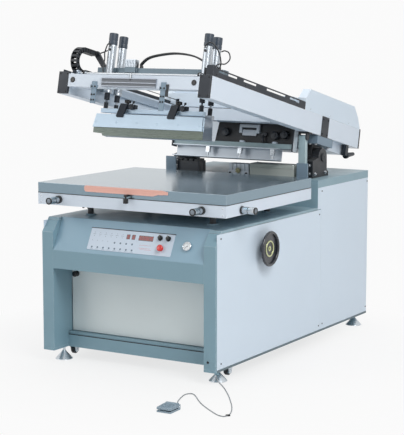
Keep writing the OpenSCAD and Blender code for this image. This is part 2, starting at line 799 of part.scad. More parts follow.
module x_slide() color([0.50, 0.52, 0.55]) machine() {
    end = slide_y + slide_l;
    lug = slide_x + 30;
    block(-slide_x, slide_x, slide_y, end, x_slide_z, x_slide_z + slide_t);
    pair() block(guide_x, guide_x + guide_w, slide_y, end, x_slide_z, x_slide_z + slide_t + guide_h);
    difference() {
        block(slide_x - past, lug, x_spindle_y - 9, x_spindle_y + 9, x_slide_z, x_slide_z + 24);
        xrod(slide_x, lug + past, x_spindle_y, x_spindle_z, spindle_r + gap);
    }
}

module y_slide() color([0.55, 0.57, 0.60]) machine() difference() {
    union() {
        block(-upper_x, upper_x, upper_y, upper_y + upper_l, y_slide_z, y_slide_z + upper_t);
        for (y = [upper_y + pad_in, upper_y + pad_in + pad_pitch]) pair()
            zrod(pad_x, y, y_slide_z, table_top - table_skin, pad_r);
        pair() {
            block(upper_x - 30, upper_x, yoke_y, upper_y + past, y_slide_z, y_slide_z + upper_t);
            block(upper_x - 30, y_spindle_x + 24, yoke_y, yoke_y + yoke_l, y_slide_z - 5, y_slide_z + 15);
        }
    }
    pair() block(y_spindle_x - 16, y_spindle_x + 16, yoke_y - past, yoke_y + yoke_l + past,
        y_spindle_z - spindle_r - gap, y_spindle_z + spindle_r + gap);
}

module table_plate() color([0.47, 0.56, 0.63]) machine() difference() {
    x = table_w / 2;
    block(-x, x, table_y, table_y + table_l, plate_z, table_top);
    block(-x + rim_w, x - rim_w, table_y + rim_w, table_y + table_l - rim_w, plate_z - past,
        table_top - table_skin);
}

module front_strip() color([0.93, 0.60, 0.45]) machine() {
    z = table_top;
    yprism(table_y - 3, table_y, [[-226, z], [-238, z - 6], [-238, z - 18], [-229, z - 28], [129, z - 28],
        [158, z - 20], [207, z - 20], [207, z - 4], [181, z]]);
    translate([0, table_y - 27, z - 50]) rotate([-48, 0, 0]) {
        translate([0, 0, -11]) cylinder(h = 22, r = 12);
        cylinder(h = 26, r = 4);
    }
    block(-7, 7, table_y - 15, table_y, z - 36, z - 27);
}

module x_knob() color([0.75, 0.77, 0.79]) machine() {
    x = table_w / 2;
    xrod(slide_x + 12, x + gap, x_spindle_y, x_spindle_z, spindle_r);
    xrod(x + gap, x + 8, x_spindle_y, x_spindle_z, table_knob_d / 2 + 5);
    xrod(x + 8, x + knob_reach, x_spindle_y, x_spindle_z, table_knob_d / 2);
}

module y_knob(x) color([0.75, 0.77, 0.79]) machine() {
    yrod(x, table_y - gap, yoke_y + yoke_l - 4, y_spindle_z, spindle_r);
    yrod(x, table_y - 16, table_y - gap, y_spindle_z, table_knob_d / 2 + 2);
    yrod(x, table_y - 82, table_y - 16, y_spindle_z, table_knob_d / 2);
}

module y_knob_left() y_knob(-y_spindle_x);

module y_knob_right() y_knob(y_spindle_x);

// Head
module arms() color([0.88, 0.91, 0.94]) head() pair() difference() {
    block(arm_x, arm_out, arm_y + cap_t, arm_back - cap_t, arm_z, arm_top);
    block(arm_x + 5, arm_out - 5, arm_y, arm_back, arm_z + 5, arm_top - 5);
}

module trough(h) difference() {
    block(arm_x, arm_out, trough_y, trough_y + trough_l, arm_top, arm_top + h);
    block(arm_x + 4, arm_out - 4, trough_y - past, trough_y + trough_l + past,
        arm_top + 3, arm_top + h + past);
}

module trough_slots() {
    for (slot = [[32, 168], [257, 121], [476, 190], [709, 104]])
        block(arm_x - past, arm_out + past, trough_y + slot[0], trough_y + slot[0] + slot[1],
            arm_top + 20, arm_top + 32);
}

module arm_fittings() color([0.14, 0.16, 0.19]) head() {
    pair() {
        block(arm_x, arm_out, arm_y, arm_y + cap_t, arm_z, arm_top + 2);
        block(arm_x, arm_out, arm_back - cap_t, arm_back, arm_z, arm_top + 2);
    }
    difference() {
        trough(trough_h);
        trough_slots();
    }
    block(arm_out - tongue_w, arm_out, trough_y - 15, trough_y, arm_top, trough_top + 9);
    mirror([1, 0, 0]) trough(low_trough_h);
    block(arm_out - 28, arm_out - 2, arm_back - 146, arm_back - 118, arm_z - 55, arm_z);
    translate([arm_out - 15, arm_back - 119, arm_z - 52]) rotate([head_tilt - 90, 0, 0]) {
        cylinder(h = 14, r = 17);
        cylinder(h = 92, r1 = 14, r2 = 9);
    }
}

module cross_beams() color([0.90, 0.92, 0.94]) head() {
    difference() {
        block(-arm_x, arm_x, arm_y, arm_y + beam_t, beam_z, beam_z + beam_h);
        block(-arm_x - past, arm_x + past, arm_y + 4, arm_y + beam_t - 4, beam_z + 4, beam_z + beam_h - 4);
    }
    difference() {
        union() {
            block(-arm_x, arm_x, rear_beam_y, rear_beam_y + rear_beam_l, rear_beam_z, rear_beam_z + 59);
            pair() block(arm_x - 16, arm_x - 4, shaft_y - 12, shaft_y + 12, rear_beam_z + 50, shaft_z + 12);
        }
        xrod(-arm_x - past, arm_x + past, shaft_y, shaft_z, shaft_r + run);
    }
    difference() {
        block(-arm_x - 20, arm_x + 20, drive_tray_y, drive_tray_y + drive_tray_l,
            arm_z - drive_tray_h, arm_z);
        block(-arm_x - 15, arm_x + 15, drive_tray_y + 5, drive_tray_y + drive_tray_l - 5,
            arm_z - drive_tray_h + 4, arm_z + past);
    }
}

module front_hangers() color([0.66, 0.71, 0.76]) head() {
    z = beam_z;
    difference() {
        block(-158, 130, arm_y - 10, arm_y, z + 2, z + 43);
        for (i = [0 : 3]) block(-160, 132, arm_y - 11, arm_y - 7, z + 7 + i * 9, z + 11 + i * 9);
    }
    block(-210, -183, arm_y - 6, arm_y, z - 73, z + 26);
    block(156, 182, arm_y - 6, arm_y, z - 97, z + 29);
    block(182, 196, arm_y - 4, arm_y, z - 40, z + 20);
}

module guide_rails() color([0.82, 0.84, 0.86]) head() pair() difference() {
    union() {
        block(arm_x - rail_t, arm_x, arm_y + beam_t + 2, rear_beam_y - 2, rail_z, rail_z + rail_h2);
        block(arm_x - 10, arm_x, idler_y - 13, idler_y + 13, rail_z, shaft_z + 12);
    }
    xrod(arm_x - 11, arm_x + past, idler_y, shaft_z, idler_r + run);
}

module cover_profile(z, t, top) xprism(-arm_out + t, arm_out - t, [[cover_front + t, z - past],
    [cover_front + t, z + lid_h - t], [cover_front + 40, z + top - t], [cover_back - 87, z + top - t],
    [cover_back - 32 - t, z + lid_h - t], [cover_back - t, z + 8 - t], [cover_back - t, z - past]]);

module rear_cover() color([0.86, 0.90, 0.94]) head() {
    z = arm_top;
    t = 3;
    w = arm_out - fairing_w;
    difference() {
        union() {
            difference() {
                cover_profile(z, 0, cover_h);
                block(-w, w, cover_front - past, cover_back + past, z + lid_h, z + cover_h + past);
                block(-arm_out - past, arm_out + past, cover_front - past, cover_back + past, z - 1, z);
            }
            block(-arm_x, arm_x, rear_beam_y + 10, cover_front + 1, z - 10, z + lid_h);
        }
        difference() {
            cover_profile(z, t, cover_h);
            block(-w - t, w + t, cover_front - past, cover_back + past, z + lid_h - t, z + cover_h + past);
        }
        block(-arm_x + t, arm_x - t, rear_beam_y + 10 + t, cover_front + 9, z - 11, z + lid_h - t);
        pair() block(pulley_x - 5, pulley_x + pulley_w + 5, rear_beam_y, cover_front - 5,
            z - 11, shaft_z + 20);
    }
}

module pivot_brackets() color([0.12, 0.13, 0.15]) head() {
    pair() {
        block(arm_x - 10, arm_out, pivot_y - 85, pivot_y + 85, arm_z - 43, arm_z);
        difference() {
            union() {
                xprism(lug_in, lug_in + lug_w, [[pivot_y - 60, arm_z], [pivot_y - 44, pivot_z],
                    [pivot_y + 44, pivot_z], [pivot_y + 60, arm_z]]);
                xrod(lug_in, lug_in + lug_w, pivot_y, pivot_z, housing_r - 3);
                xrod(lug_in, arm_out + 4, pivot_y, pivot_z, pivot_d / 2);
            }
        }
        block(arm_out, arm_out + 3, pivot_y - 52, pivot_y + 22, arm_z - 43, arm_top);
    }
    block(-arm_x, arm_x, bulkhead_y, bulkhead_y + 5, arm_z + 4, arm_z + 40);
    block(-arm_x + 16, arm_x - 16, bulkhead_y, bulkhead_y + 5, bulkhead_low, arm_z + 5);
    block(strut_x - 8, arm_out, pin_level_y - 20, pin_level_y + 20, arm_z - 6, arm_z);
    for (x = [strut_x - 8, strut_x + strut_w + gap]) difference() {
        union() {
            block(x, x + 8 - gap, pin_level_y - 14, pin_level_y + 14, pin_level_z, arm_z);
            xrod(x, x + 8 - gap, pin_level_y, pin_level_z, 14);
        }
    }
    xrod(strut_x - 8, strut_x + strut_w + 8, pin_level_y, pin_level_z, pin_r);
}

module clamp_channel() color([0.80, 0.83, 0.86]) head() {
    left = channel_x - channel_w / 2;
    low = channel_top - channel_h;
    t = channel_wall;
    xprism(left, left + channel_w, [[channel_y, low], [channel_y, low + t],
        [channel_y + channel_l - t, low + t],
        [channel_y + channel_l - t, channel_top - t], [channel_y, channel_top - t], [channel_y, channel_top],
        [channel_y + channel_l, channel_top], [channel_y + channel_l, low]]);
    block(-arm_x + 8, arm_x - 8, channel_y + 10, channel_y + 40, channel_top, channel_top + carrier_h);
    pair() block(arm_x - 8, arm_x, channel_y, channel_y + 40, channel_top - 12, arm_z + 45);
    for (x = clamp_x) {
        zrod(x, channel_y + 22, channel_top - 22, channel_top, 5);
        zrod(x, channel_y + 22, channel_top + carrier_h, channel_top + carrier_h + 9, 14);
    }
}

module drive_motor() color([0.20, 0.21, 0.23]) head() difference() {
    union() {
        block(-40, 40, shaft_y - 25, shaft_y + 30, rear_beam_z + 59, shaft_z + 42);
        yrod(0, shaft_y + 30, shaft_y + 180, shaft_z + 10, 28);
    }
    xrod(-41, 41, shaft_y, shaft_z, shaft_r + run);
}

module pulleys(y, r) {
    xrod(-arm_x + 5, arm_x - 5, y, shaft_z, r);
    pair() xrod(pulley_x, pulley_x + pulley_w, y, shaft_z, pulley_d / 2);
}

module drive_shaft() color([0.72, 0.73, 0.75]) head() pulleys(shaft_y, shaft_r);

module idler_shaft() color([0.72, 0.73, 0.75]) head() pulleys(idler_y, idler_r);

module belt_loop(x0, x1, r) {
    xrod(x0, x1, idler_y, shaft_z, r);
    xrod(x0, x1, shaft_y, shaft_z, r);
    block(x0, x1, idler_y, shaft_y, shaft_z - r, shaft_z + r);
}

module drive_belts() color([0.08, 0.08, 0.09]) head() pair() difference() {
    belt_loop(pulley_x + 1, pulley_x + pulley_w - 1, pulley_d / 2 + gap + belt_t);
    belt_loop(pulley_x, pulley_x + pulley_w, pulley_d / 2 + gap);
}

// Arm lift
module lift_strut() color([0.50, 0.60, 0.67]) machine() difference() {
    x = strut_x + gap;
    w = strut_w - gap;
    union() {
        block(x, x + w - gap, strut_rest_y - strut_t / 2, strut_rest_y + strut_t / 2, yoke_z, pin_rest_z);
        xrod(x, x + w - gap, strut_rest_y, pin_rest_z, strut_t / 2);
        block(x, x + w - gap, strut_rest_y - 31, strut_rest_y + 31, yoke_z - 21, yoke_z + 21);
    }
    xrod(x - past, x + w + past, strut_rest_y, pin_rest_z, pin_r + run);
    block(x - past, x + w + past, strut_rest_y - 26, strut_rest_y + 26, yoke_z - 13.5, yoke_z + 13.5);
}

module lift_crank() color([0.35, 0.37, 0.40]) machine() {
    xrod(strut_x - 16, strut_x - 5, strut_rest_y, crank_z, 32);
    xrod(strut_x - 48, strut_x - 15, strut_rest_y, crank_z, 10);
    xrod(strut_x - 6, strut_x + strut_w, strut_rest_y, yoke_z, 8);
}

// Carriage
module carriage_beam() color([0.22, 0.26, 0.32]) head() {
    z = carriage_z;
    top = chain_z + chain_r + 2;
    block(-arm_x + 5, arm_x - 5, beam_y, beam_y + carriage_t, z, z + carriage_h);
    pair() {
        block(arm_x - 27, arm_x - rail_t - gap, shoe_y, shoe_y + shoe_l, rail_z - 5, z);
        block(arm_x - 27, arm_x - gap, shoe_y, shoe_y + shoe_l, rail_z + rail_h2 + gap, z - 31);
        block(pulley_x, pulley_x + pulley_w, beam_y, beam_y + carriage_t,
            shaft_z + pulley_d / 2 + gap + belt_t + gap, z);
    }
    yprism(beam_y + 10, beam_y + 24, [[-chain_x - 18, top], [-chain_x + 14, top],
        [-arm_x + 45, z + carriage_h - 2], [-arm_x + 22, z + carriage_h - 2],
        [-chain_x - 4, top - 16], [-chain_x - 18, top - 16]]);
    block(valve_x, valve_x + valve_w, beam_y - 16, beam_y, z + 5, z + valve_h);
    block(valve_x, valve_x + valve_w, beam_y - 16, beam_y - 16 + valve_l, z + carriage_h, z + valve_h);
}

module air_cylinder(x, y, back) difference() {
    union() {
        zrod(x, y, body_z, cap_z, body_r);
        zrod(x, y, cap_z, cylinder_top, body_r + 1.5);
        zrod(x, y, body_z - 10, body_z + 4, body_r + 0.5);
        block(x - 20, x + 20, min(y, back), max(y, back), carriage_z + 4, carriage_z + 24);
    }
    zrod(x, y, body_z - 11, cap_z - 2, rod_r + run);
}

module air_cylinders() color([0.76, 0.79, 0.82]) head() for (s = [-1, 1]) {
    air_cylinder(s * cylinder_x, front_row_y, beam_y);
    air_cylinder(s * (cylinder_x - 2), rear_row_y, beam_y + carriage_t);
}

module air_hoses() color([0.10, 0.11, 0.13]) head() {
    z = carriage_z + carriage_h;
    for (i = [0, 1]) let (near = beam_y + 12 + i * 12, mid = beam_y + 8 + i * 14, far = beam_y + 6 + i * 16)
        tube(smooth([[-110, near, z], [-110, near, z + 9], [-110, near, z + 22], [-72, mid, z + 50],
            [0, far, z + 66], [82, far, z + 72], [170, mid, z + 60], [232, near, z + 30],
            [232, near, z + 12], [232, near, z]], 3), 4, 8);
}

module squeegee_holder() color([0.60, 0.64, 0.68]) head() {
    w = squeegee_w / 2;
    pair() zrod(cylinder_x, front_row_y, holder_z + 10, body_z + 150, rod_r);
    front = front_row_y - 10;
    back = front_row_y + 10;
    clamp_top = clamp_z + clamp_h;
    block(-cylinder_x - 19, cylinder_x + 19, front, back, holder_z, holder_z + holder_h);
    difference() {
        for (x = hook_x) block(x, x + carrier_w, front - 4, back, holder_z + holder_h - past, carrier_top);
        for (s = [-1, 1]) zrod(s * star_x, front_row_y, carrier_top - 16, carrier_top + past, 4 + run);
    }
    for (x = hook_x) {
        xprism(x, x + hook_w, [[front - 8, carrier_top], [front + 3, carrier_top],
            [squeegee_y - 9, clamp_top - 10], [squeegee_y - 20, clamp_top - 10]]);
        yrod(x + carrier_w - 15, front - 16, front - 3, carrier_top - 12, 12);
    }
    block(-w, w, squeegee_y - 10, squeegee_y + 10, clamp_z, clamp_top);
    for (i = [-2.5 : 2.5]) yrod(i * 110, squeegee_y - 13, squeegee_y - 10, clamp_z + 24, 6);
}

module squeegee_blade() color([0.25, 0.62, 0.48]) head() {
    w = squeegee_w / 2;
    yprism(squeegee_y - blade_t / 2, squeegee_y + blade_t / 2, [[-w, clamp_z], [-w, blade_z + 12],
        [-w + 3, blade_z + 4], [-w + 12, blade_z], [w, blade_z], [w, clamp_z]]);
}

module star_knob(x) color([0.08, 0.08, 0.09]) head() {
    z = carrier_top + gap;
    zrod(x, front_row_y, carrier_top - 15, z, 4);
    zrod(x, front_row_y, z, z + 8, 8);
    zrod(x, front_row_y, z + 8, z + 22, star_d / 2 - 4);
    for (a = [0 : 60 : 300]) translate([x, front_row_y, 0]) rotate([0, 0, a])
        zrod(star_d / 2 - 4, 0, z + 8, z + 22, 4);
}

module star_knob_left() star_knob(-star_x);

module star_knob_right() star_knob(star_x);

module flood_bar() color([0.70, 0.73, 0.76]) head() {
    w = squeegee_w / 2;
    y = rear_row_y;
    pair() zrod(cylinder_x - 2, y, flood_z + 10, body_z + 150, rod_r);
    block(-cylinder_x - 17, cylinder_x + 17, y - 10, y + 10, flood_z, flood_z + 20);
    xprism(-w, w, [[y - 8, flood_z], [y + 8, flood_z], [y + 8, flood_z - 22],
        [y - 4, blade_z + 7], [y - 12, blade_z + 10], [y - 8, flood_z - 22]]);
}

module energy_chain() color([0.10, 0.11, 0.13]) head() {
    inner = chain_r - chain_t;
    difference() {
        union() {
            xrod(-chain_x - chain_w / 2, -chain_x + chain_w / 2, chain_y, chain_z, chain_r);
            block(-chain_x - chain_w / 2, -chain_x + chain_w / 2, chain_y, beam_y + 10 - gap,
                chain_z + inner, chain_z + chain_r);
            block(-chain_x - chain_w / 2, -chain_x + chain_w / 2, chain_y, chain_y + chain_run,
                chain_z - chain_r, chain_z - inner);
        }
        xrod(-chain_x - chain_w, -chain_x + chain_w, chain_y, chain_z, inner);
        block(-chain_x - chain_w, -chain_x + chain_w, chain_y, chain_y + chain_r + past,
            chain_z - inner, chain_z + inner);
    }
}

base_tray();
frame_posts();
frame_rails();
front_deck();
rear_deck();
console_box();
cabinet_panels();
levelling_feet();
control_overlay();
gauge_case();
bearing_housings();
deck_units();
lift_gearmotor();
cabinet_units();
lift_gearbox();
pedal_base();
pedal_cord();
front_door();
door_knob();
roller_left();
roller_right();
selector_left();
selector_right();
stop_button();
gauge_needle();
pedal_treadle();
handwheel();
lift_screw();
lift_platform();
table_frame();
x_slide();
y_slide();
table_plate();
front_strip();
x_knob();
y_knob_left();
y_knob_right();
arms();
arm_fittings();
cross_beams();
front_hangers();
guide_rails();
rear_cover();
pivot_brackets();
clamp_channel();
drive_motor();
drive_shaft();
idler_shaft();
drive_belts();
lift_strut();
lift_crank();
carriage_beam();
air_cylinders();
air_hoses();
squeegee_holder();
squeegee_blade();
star_knob_left();
star_knob_right();
flood_bar();
energy_chain();
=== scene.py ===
# %% [markdown]
# # A flatbed screen printer
# This notebook dresses a machine whose frame was already built as exact solids. The solids give every size,
# so each piece below is worked out in the same millimetres and then carried into the shared frame.

# %% Load the frame
import json
import math
from functools import partial
import bmesh
import bpy
import numpy as np
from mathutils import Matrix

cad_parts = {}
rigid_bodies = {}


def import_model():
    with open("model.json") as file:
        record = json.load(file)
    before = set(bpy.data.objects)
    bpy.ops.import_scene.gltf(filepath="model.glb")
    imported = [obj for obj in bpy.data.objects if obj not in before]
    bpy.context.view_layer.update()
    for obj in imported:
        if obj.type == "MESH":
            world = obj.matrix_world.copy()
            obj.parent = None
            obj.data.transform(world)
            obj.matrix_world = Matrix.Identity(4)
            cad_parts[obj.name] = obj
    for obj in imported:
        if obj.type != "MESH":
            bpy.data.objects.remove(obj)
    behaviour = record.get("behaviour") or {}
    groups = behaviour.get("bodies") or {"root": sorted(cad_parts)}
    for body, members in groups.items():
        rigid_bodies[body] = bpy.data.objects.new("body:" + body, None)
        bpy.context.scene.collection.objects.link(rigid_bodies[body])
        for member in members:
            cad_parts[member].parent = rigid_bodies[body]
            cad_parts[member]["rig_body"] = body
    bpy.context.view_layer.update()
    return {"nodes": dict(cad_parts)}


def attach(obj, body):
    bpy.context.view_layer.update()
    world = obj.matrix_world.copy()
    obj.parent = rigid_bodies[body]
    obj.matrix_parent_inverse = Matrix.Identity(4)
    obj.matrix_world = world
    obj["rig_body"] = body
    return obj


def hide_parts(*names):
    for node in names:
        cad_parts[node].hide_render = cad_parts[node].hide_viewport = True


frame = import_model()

# %% [markdown]
# ## Places
# The machine was drawn with x = 0 on its mid-plane, y = 0 on the cabinet's front and z = 0 on the floor, in
# millimetres. Its printing head is drawn level and then raised about a shaft. Each place below is a
# function that takes points in its own millimetres and gives them in the shared frame in metres. One
# function for each place lets every piece be written with the numbers that a drawing would show.

# %% Places on the machine
ORIGIN = np.array([36.5, 554.1141, 0])
TILT = math.radians(12.3)
PIVOT = np.array([0, 1148, 900])
SLOPE = math.atan2(146, 76)
CREASE_Z = 527
PEDAL = np.array([497.5, -435, 0])
PEDAL_TURN = math.radians(2)


def turned(p, axis, angle):
    """Points turned about one axis through zero, anticlockwise when that axis points at the reader."""
    i, j = [(1, 2), (2, 0), (0, 1)]["xyz".index(axis)]
    out = np.array(p, float)
    out[..., i] = p[..., i] * math.cos(angle) - p[..., j] * math.sin(angle)
    out[..., j] = p[..., i] * math.sin(angle) + p[..., j] * math.cos(angle)
    return out


def machine(p):
    """Machine millimetres to frame metres: take away the origin, divide by a thousand."""
    return (np.asarray(p, float) - ORIGIN) / 1000


def head(p):
    """Level head to raised head: turn about the pivot shaft, then as on the machine."""
    return machine(turned(np.asarray(p, float) - PIVOT, "x", -TILT) + PIVOT)


def slope(p):
    """Console slope: x across, y up the slope from the crease, z out of it."""
    return machine(turned(np.asarray(p, float), "x", SLOPE) + [0, 0, CREASE_Z])


def pedal(p):
    """Foot pedal: its own length along y, turned on the floor."""
    return machine(turned(np.asarray(p, float), "z", PEDAL_TURN) + PEDAL)


print("pivot shaft in the frame:", np.round(machine(PIVOT), 4))

# %% [markdown]
# ## Camera
# The photograph was taken from the front right corner. Straight edges of the machine gave the viewpoint and
# a lens of about 120 mm on a 36 mm sensor, so the camera stands about six metres away.

# %% Camera
def linked(name, data):
    """A new object of the scene that shows some data."""
    made = bpy.data.objects.new(name, data)
    bpy.context.scene.collection.objects.link(made)
    return made


camera = linked("camera", bpy.data.cameras.new("camera"))
bpy.context.scene.camera = camera
CAMERA_AT, LOOKS_DOWN, LOOKS_LEFT, LENS = [3571, -5283, 1568], 7.71, 31.02, 120.3
camera.location = machine(CAMERA_AT)
camera.rotation_euler = (math.radians(90 - LOOKS_DOWN), 0, math.radians(LOOKS_LEFT))
camera.data.sensor_width = 36
camera.data.lens = LENS
camera.data.clip_end = 60
print("camera at", np.round(camera.location, 3))

# %% [markdown]
# ## Meshes from whole arrays
# Almost every piece of a machine is a ring of points that is carried along something: round a turning axis,
# along a bar or down a hose. So one function joins rings, and the others only say where the rings are. The
# points are worked out as whole arrays, which is quick and keeps each shape's formula in one place.

# %% Rings joined to a surface
def loft(rings, closed=False):
    """A surface through rings of points, shaped (rings, points, 3): four-sided faces between neighbours, and
    a flat cap on each end unless the rings close on themselves."""
    rings = np.asarray(rings, float)
    count, around = rings.shape[:2]
    a = np.arange(count * around).reshape(count, around)
    if closed:
        a = np.vstack([a, a[:1]])
    b = np.roll(a, -1, axis=1)
    faces = np.stack([a[:-1], b[:-1], b[1:], a[1:]], axis=-1).reshape(-1, 4).tolist()
    if not closed:
        faces += [a[0][::-1].tolist(), a[-1].tolist()]
    return rings.reshape(-1, 3), faces


def rounded(w, l, r, steps=4):
    """Outline of a rectangle w by l with corners of radius r: a quarter circle about each corner's centre."""
    r = min(r, w / 2 - 0.01, l / 2 - 0.01)
    a = np.linspace(0, np.pi / 2, steps) + np.pi / 2 * np.arange(4)[:, None]
    centre = np.array([[1, 1], [-1, 1], [-1, -1], [1, -1]]) * [w / 2 - r, l / 2 - r]
    return (centre[:, None] + r * np.stack([np.cos(a), np.sin(a)], -1)).reshape(-1, 2)


def slab(outline, low, high, edge, steps=3):
    """A plate from low to high whose two rims are rounded: outline(e) is the outline drawn in by e, and e
    follows a quarter circle at each rim."""
    a = np.linspace(0, np.pi / 2, steps)
    inset, rise = edge * (1 - np.sin(a)), edge * (1 - np.cos(a))
    levels = np.concatenate([low + rise, (high - rise)[::-1]])
    flat = [outline(e) for e in np.concatenate([inset, inset[::-1]])]
    return loft([np.column_stack([f, np.full(len(f), z)]) for f, z in zip(flat, levels)])


def box(x0, x1, y0, y1, z0, z1, edge=1, corner=None):
    """A block between two corners, its upright edges rounded by corner and its rims by edge."""
    corner = edge if corner is None else corner
    w, l = x1 - x0, y1 - y0
    p, f = slab(lambda e: rounded(w - 2 * e, l - 2 * e, max(corner - e, 0.05)), z0, z1, edge)
    return p + [(x0 + x1) / 2, (y0 + y1) / 2, 0], f


def lathe(profile, sides, closed=False, wave=1):
    """A turned piece: each (radius, height) of the profile becomes a circle about z. A wave, one factor for
    each side, makes the circle fluted or toothed."""
    r, z = np.asarray(profile, float).T
    a = np.linspace(0, 2 * np.pi, sides, endpoint=False)
    ring = np.stack([wave * np.cos(a), wave * np.sin(a)], -1)
    heights = np.broadcast_to(z[:, None, None], (len(z), sides, 1))
    return loft(np.concatenate([r[:, None, None] * ring, heights], -1), closed)


def prism(outline, low, high, axes=(0, 1, 2)):
    """A flat outline of (x, y) points carried from low to high, its coordinates then put in another order."""
    outline = np.asarray(outline, float)
    p, f = loft([np.column_stack([outline, np.full(len(outline), z)]) for z in (low, high)])
    return p[:, list(axes)], f


def joined(*shapes):
    """Several shapes as one: points stacked, face numbers moved on."""
    points, faces, start = [], [], 0
    for p, f in shapes:
        points.append(p)
        faces += [[i + start for i in face] for face in f]
        start += len(p)
    return np.concatenate(points), faces


def moved(shape, by):
    return shape[0] + np.asarray(by, float), shape[1]


def spun(shape, axis, degrees=90):
    return turned(shape[0], axis, math.radians(degrees)), shape[1]


def placed(shape, by, axis="x", degrees=90):
    return moved(spun(shape, axis, degrees), by)


def blocks(*rows):
    """Several blocks as one, a row of box's numbers for each."""
    return joined(*[box(*row) for row in rows])


def copies(shape, places):
    """One shape set down at each of a list of places."""
    return joined(*[moved(shape, at) for at in places])


def grid(xs, ys, zs):
    """Every spot of a grid that has one number or several along each axis."""
    return [[x, y, z] for x in np.atleast_1d(xs) for y in np.atleast_1d(ys) for z in np.atleast_1d(zs)]


def mirrored(shape):
    """The shape and its mirror image across the mid-plane, with the image's faces turned back outwards."""
    return joined(shape, (shape[0] * [-1, 1, 1], [f[::-1] for f in shape[1]]))


print("a test block has", len(box(0, 10, 0, 10, 0, 10)[0]), "points")

# %% [markdown]
# ## Tubes
# A hose or a cord is a circle carried along a path. Its ring is turned only as much as the path bends,
# which keeps the surface from twisting. A smooth path comes from a few given points, with a curve
# through them all whose bends depend on the neighbouring points.

# %% Tubes along a path
def smooth(points, steps):
    """A curve through all points: on each stretch, a cubic whose ends head along the line between the
    neighbouring points."""
    p = np.asarray(points, float)
    q = np.vstack([p[:1], p, p[-1:]])
    t = (np.arange(steps) / steps)[None, :, None]
    a, b, c, d = (q[i : i + len(p) - 1, None] for i in range(4))
    body = 0.5 * (2 * b + (c - a) * t + (2 * a - 5 * b + 4 * c - d) * t**2 + (3 * b - a - 3 * c + d) * t**3)
    return np.vstack([body.reshape(-1, 3), p[-1:]])


def tube(path, radius, sides=12):
    """A round tube: at each path point a circle at right angles to the path, of one radius or one each."""
    path = np.asarray(path, float)
    heading = np.gradient(path, axis=0)
    heading /= np.linalg.norm(heading, axis=1, keepdims=True)
    side = np.array([0.3, 0.2, 1])
    sides_along = []
    for t in heading:
        side = side - side @ t * t
        side /= np.linalg.norm(side)
        sides_along.append(side)
    n = np.array(sides_along)[:, None]
    b = np.cross(heading, n[:, 0])[:, None]
    a = np.linspace(0, 2 * np.pi, sides, endpoint=False)[None, :, None]
    r = np.broadcast_to(np.asarray(radius, float), len(path))[:, None, None]
    return loft(path[:, None] + r * (np.cos(a) * n + np.sin(a) * b))


print("a test tube has", len(tube([[0, 0, 0], [0, 0, 9]], 2)[1]), "faces")

# %% [markdown]
# ## Objects
# Each finished piece is one object at the origin, with its place in its mesh, so that patterns on object
# coordinates stay put. Sheet metal never has a perfectly sharp edge, and a rounded one catches the light.
# Where a solid of the frame already has the right shape, a copy of it gets that rounding: its triangles are
# merged to flat faces, its sharp edges are bevelled, and the new narrow faces are marked, so that a paint
# can wear there.

# %% Objects from shapes
def add_object(name, mesh, body, material, replaces=(), sharp=50):
    """Links a mesh as a piece: shaded smooth with sharp edges kept, riding on a body, with a finish."""
    mesh.shade_smooth()
    mesh.set_sharp_from_angle(angle=math.radians(sharp))
    piece = linked(name, mesh)
    even = piece.modifiers.new("even_shading", "WEIGHTED_NORMAL")
    even.keep_sharp = True
    piece.data.materials.append(material)
    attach(piece, body)
    if replaces:
        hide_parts(*([replaces] if isinstance(replaces, str) else replaces))
    return piece


def make(place, body, name, shape, slot, replaces=(), paint=None, sharp=50):
    """A piece from points and faces, placed and riding on body, its faces turned outwards. Its finish is the
    one named like its slot, or paint."""
    points, faces = shape
    mesh = bpy.data.meshes.new(name)
    mesh.from_pydata(place(points), [], faces)
    work = bmesh.new()
    work.from_mesh(mesh)
    bmesh.ops.recalc_face_normals(work, faces=work.faces)
    work.to_mesh(mesh)
    work.free()
    piece = add_object(name, mesh, body, FINISHES[paint or slot], replaces, sharp)
    print(f"{name}: {len(mesh.vertices)} points")
    return piece


FINISHES = {}
FLAT, SHARP_FROM = math.radians(0.4), math.radians(25)


def softened(node, width, slot, paint=None):
    """A copy of a solid with its sharp edges rounded by width millimetres, in place of the solid."""
    source = frame["nodes"][node]
    work = bmesh.new()
    work.from_mesh(source.data)
    bmesh.ops.remove_doubles(work, verts=work.verts, dist=1e-6)
    bmesh.ops.dissolve_limit(work, angle_limit=FLAT, verts=work.verts, edges=work.edges)
    edges = [e for e in work.edges if len(e.link_faces) == 2 and e.calc_face_angle() > SHARP_FROM]
    bmesh.ops.bevel(work, geom=edges, offset=width / 1000, segments=2, profile=0.6, affect="EDGES",
        material=1, clamp_overlap=True)
    mesh = bpy.data.meshes.new(node + "_dressed")
    work.to_mesh(mesh)
    work.free()
    marked = np.zeros(len(mesh.polygons), np.int32)
    mesh.polygons.foreach_get("material_index", marked)
    mesh.attributes.new("edge", "FLOAT", "FACE").data.foreach_set("value", (marked > 0).astype(np.float32))
    mesh.polygons.foreach_set("material_index", np.zeros_like(marked))
    piece = add_object(mesh.name, mesh, source["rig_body"], FINISHES[paint or slot], node)
    print(f"{piece.name}: {len(mesh.polygons)} faces, {int((marked > 0).sum())} of them rounded edges")


on_cabinet, on_console = partial(make, machine, "cabinet"), partial(make, slope, "cabinet")
on_table, on_wheel = (partial(make, machine, body) for body in ("table", "handwheel"))
on_head, on_carriage, on_squeegee, on_flood = (partial(make, head, body)
    for body in ("head", "carriage", "squeegee", "flood_bar"))
print("object helpers ready")


# %% [markdown]
# ## Short words for shader nodes
# A shader is a graph: each node takes numbers or colours and hands on a result. The few helpers below make
# a node, set it and link it in one line, so that a finish can be read like a formula.

